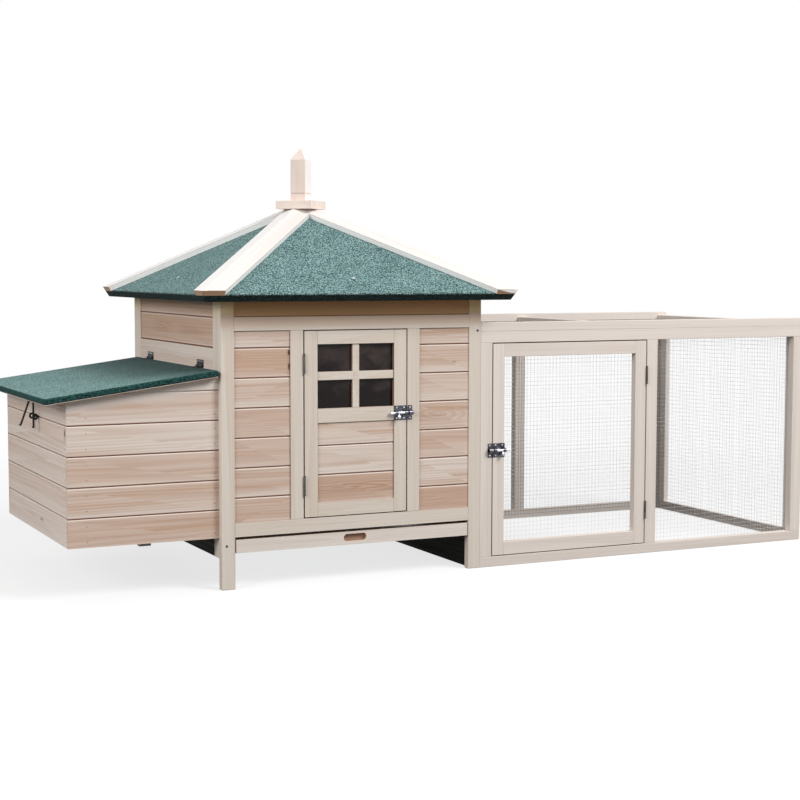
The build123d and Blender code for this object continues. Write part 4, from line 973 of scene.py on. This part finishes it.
bolts = {
    "plate": 0.0015,
    "inset": 0.008, "edge": 0.0055,  # screws from the barrel plate's ends and edges
    "keepers": ((0.55525, 0.4565), (0.81025, 0.337)),  # places along the coop, and heights
    "keeperReach": 0.0145,
}
boltFace = legLow.y - bolts["plate"]
for pieceName, nodeName, body in (
    ("houseBoltScrews", "house_bolt_barrel", "house_door"),
    ("runBoltScrews", "run_bolt_barrel", "run_door"),
):
    low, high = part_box(nodeName)
    columns = (low.x + bolts["inset"], high.x - bolts["inset"])
    rows = (low.z + bolts["edge"], high.z - bolts["edge"])
    smallScrews(pieceName, [(Vector((x, boltFace, z)), -axisY) for x in columns for z in rows], body)
spots = []
for along, height in bolts["keepers"]:
    for z in (height - bolts["keeperReach"], height + bolts["keeperReach"]):
        spots.append((Vector((legLow.x + along, boltFace, z)), -axisY))
smallScrews("keeperScrews", spots, "coop")

lidHinge = {"middles": (0.163, 0.616), "screwAside": 0.016, "height": 0.6035, "leaf": 0.0012}
spots = []
for middle in lidHinge["middles"]:
    for aside in (-lidHinge["screwAside"], 0.0, lidHinge["screwAside"]):
        place = (legLow.x - lidHinge["leaf"], legLow.y + middle + aside, lidHinge["height"])
        spots.append((Vector(place), -axisX))
smallScrews("lidHingeScrews", spots, "coop")

# One broad-headed nail in the middle of each roof slope
feltNail = {"radius": 0.0050, "height": 0.0012, "inFromEave": 0.083, "rise": 0.0445}
reach = (roofHigh.x - roofLow.x) / 2 - feltNail["inFromEave"]
slope = math.atan2(feltNail["rise"], feltNail["inFromEave"])
spots = []
for side in (-axisY, axisX, axisY, -axisX):
    spot = Vector((roofMiddle.x, roofMiddle.y, eaveHeight + feltNail["rise"])) + side * reach
    spots.append((spot, side * math.sin(slope) + axisZ * math.cos(slope)))
heads("feltNails", spots, feltNail["radius"], feltNail["height"], "coop", "feltNail")
print("fasteners made")


# Floor, background and light. The floor turns fully white away from the coop and keeps its shadow near it
stageSetup = {
    "reach": 30.0, "drop": 0.0005,
    "floor": tint(246, 246, 246), "bounce": tint(70, 68, 62), "roughness": 0.9,
    "whiten": (1.6, 3.6, 0.74, 1.0),  # by the distance from the coop's middle
    "white": (1.0, 1.0, 1.0, 1.0),
    "sky": 0.42,
}
reach = stageSetup["reach"]
corners = [(-reach, -reach, 0), (reach, -reach, 0), (reach, reach, 0), (-reach, reach, 0)]
floorMesh = bpy.data.meshes.new("studioFloor")
floorMesh.from_pydata(corners, [], [(0, 1, 2, 3)])
floor = bpy.data.objects.new("studioFloor", floorMesh)
floor.location.z = -stageSetup["drop"]
scene.collection.objects.link(floor)


# 1 where the background is seen straight, in a mirror or through the pane
def seenDirectly(tree):
    path = addNode(tree, "ShaderNodeLightPath").outputs
    mirrored = calc(tree, "MAXIMUM", path["Is Glossy Ray"], path["Is Transmission Ray"])
    return calc(tree, "MAXIMUM", path["Is Camera Ray"], mirrored)


def mixInto(tree, output, share, first, second):
    mixed = addNode(tree, "ShaderNodeMixShader", {0: share, 1: first.outputs[0], 2: second.outputs[0]})
    tree.links.new(mixed.outputs[0], tree.nodes[output].inputs["Surface"])


floorFinish, tree, shader = startMaterial("studioFloor", stageSetup["roughness"], specular=0.0)
seen = seenDirectly(tree)
tree.links.new(blend(tree, seen, stageSetup["bounce"], stageSetup["floor"]), shader.inputs["Base Color"])
distance = length(tree, addNode(tree, "ShaderNodeTexCoord").outputs["Object"])
whiteShare = times(tree, seen, toned(tree, distance, stageSetup["whiten"]))
glow = addNode(tree, "ShaderNodeEmission", {0: stageSetup["white"], 1: 1.0})
mixInto(tree, "Material Output", whiteShare, shader, glow)
floorMesh.materials.append(floorFinish)

world = bpy.data.worlds.new("studio")
scene.world = world
world.use_nodes = True
tree = world.node_tree
sky = tree.nodes["Background"]
sky.inputs[0].default_value = stageSetup["white"]
sky.inputs[1].default_value = stageSetup["sky"]
backdrop = addNode(tree, "ShaderNodeBackground", {0: stageSetup["white"], 1: 1.0})
mixInto(tree, "World Output", seenDirectly(tree), sky, backdrop)

lamps = {
    "keyLamp": {"place": (2.7, -4.3, 4.8), "target": (-0.1, 0.0, 0.5), "size": 3.4, "energy": 386.0},
    "fillLamp": {"place": (-5.0, -2.2, 2.4), "target": (-0.4, 0.0, 0.4), "size": 2.6, "energy": 150.0},
}
for name, setup in lamps.items():
    lamp = bpy.data.lights.new(name, "AREA")
    lamp.shape = "DISK"
    lamp.size = setup["size"]
    lamp.energy = setup["energy"]
    holder = bpy.data.objects.new(name, lamp)
    holder.location = setup["place"]
    toward = Vector(setup["target"]) - Vector(setup["place"])
    holder.rotation_euler = toward.to_track_quat("-Z", "Y").to_euler()
    scene.collection.objects.link(holder)

view = {
    "place": (-2.163, -4.427, 0.8572), "lens": 72.9, "sensor": 36.0,
    "yaw": -25.85, "pitch": -4.659, "roll": 0.1094,  # degrees
}
cameraData = bpy.data.cameras.new("photoCamera")
cameraData.lens = view["lens"]
cameraData.sensor_width = view["sensor"]
camera = bpy.data.objects.new("photoCamera", cameraData)
yaw = Matrix.Rotation(math.radians(view["yaw"]), 4, "Z")
pitch = Matrix.Rotation(math.radians(90 + view["pitch"]), 4, "X")
roll = Matrix.Rotation(math.radians(view["roll"]), 4, "Z")
camera.matrix_world = Matrix.Translation(view["place"]) @ yaw @ pitch @ roll
scene.collection.objects.link(camera)
scene.camera = camera
print("stage made")
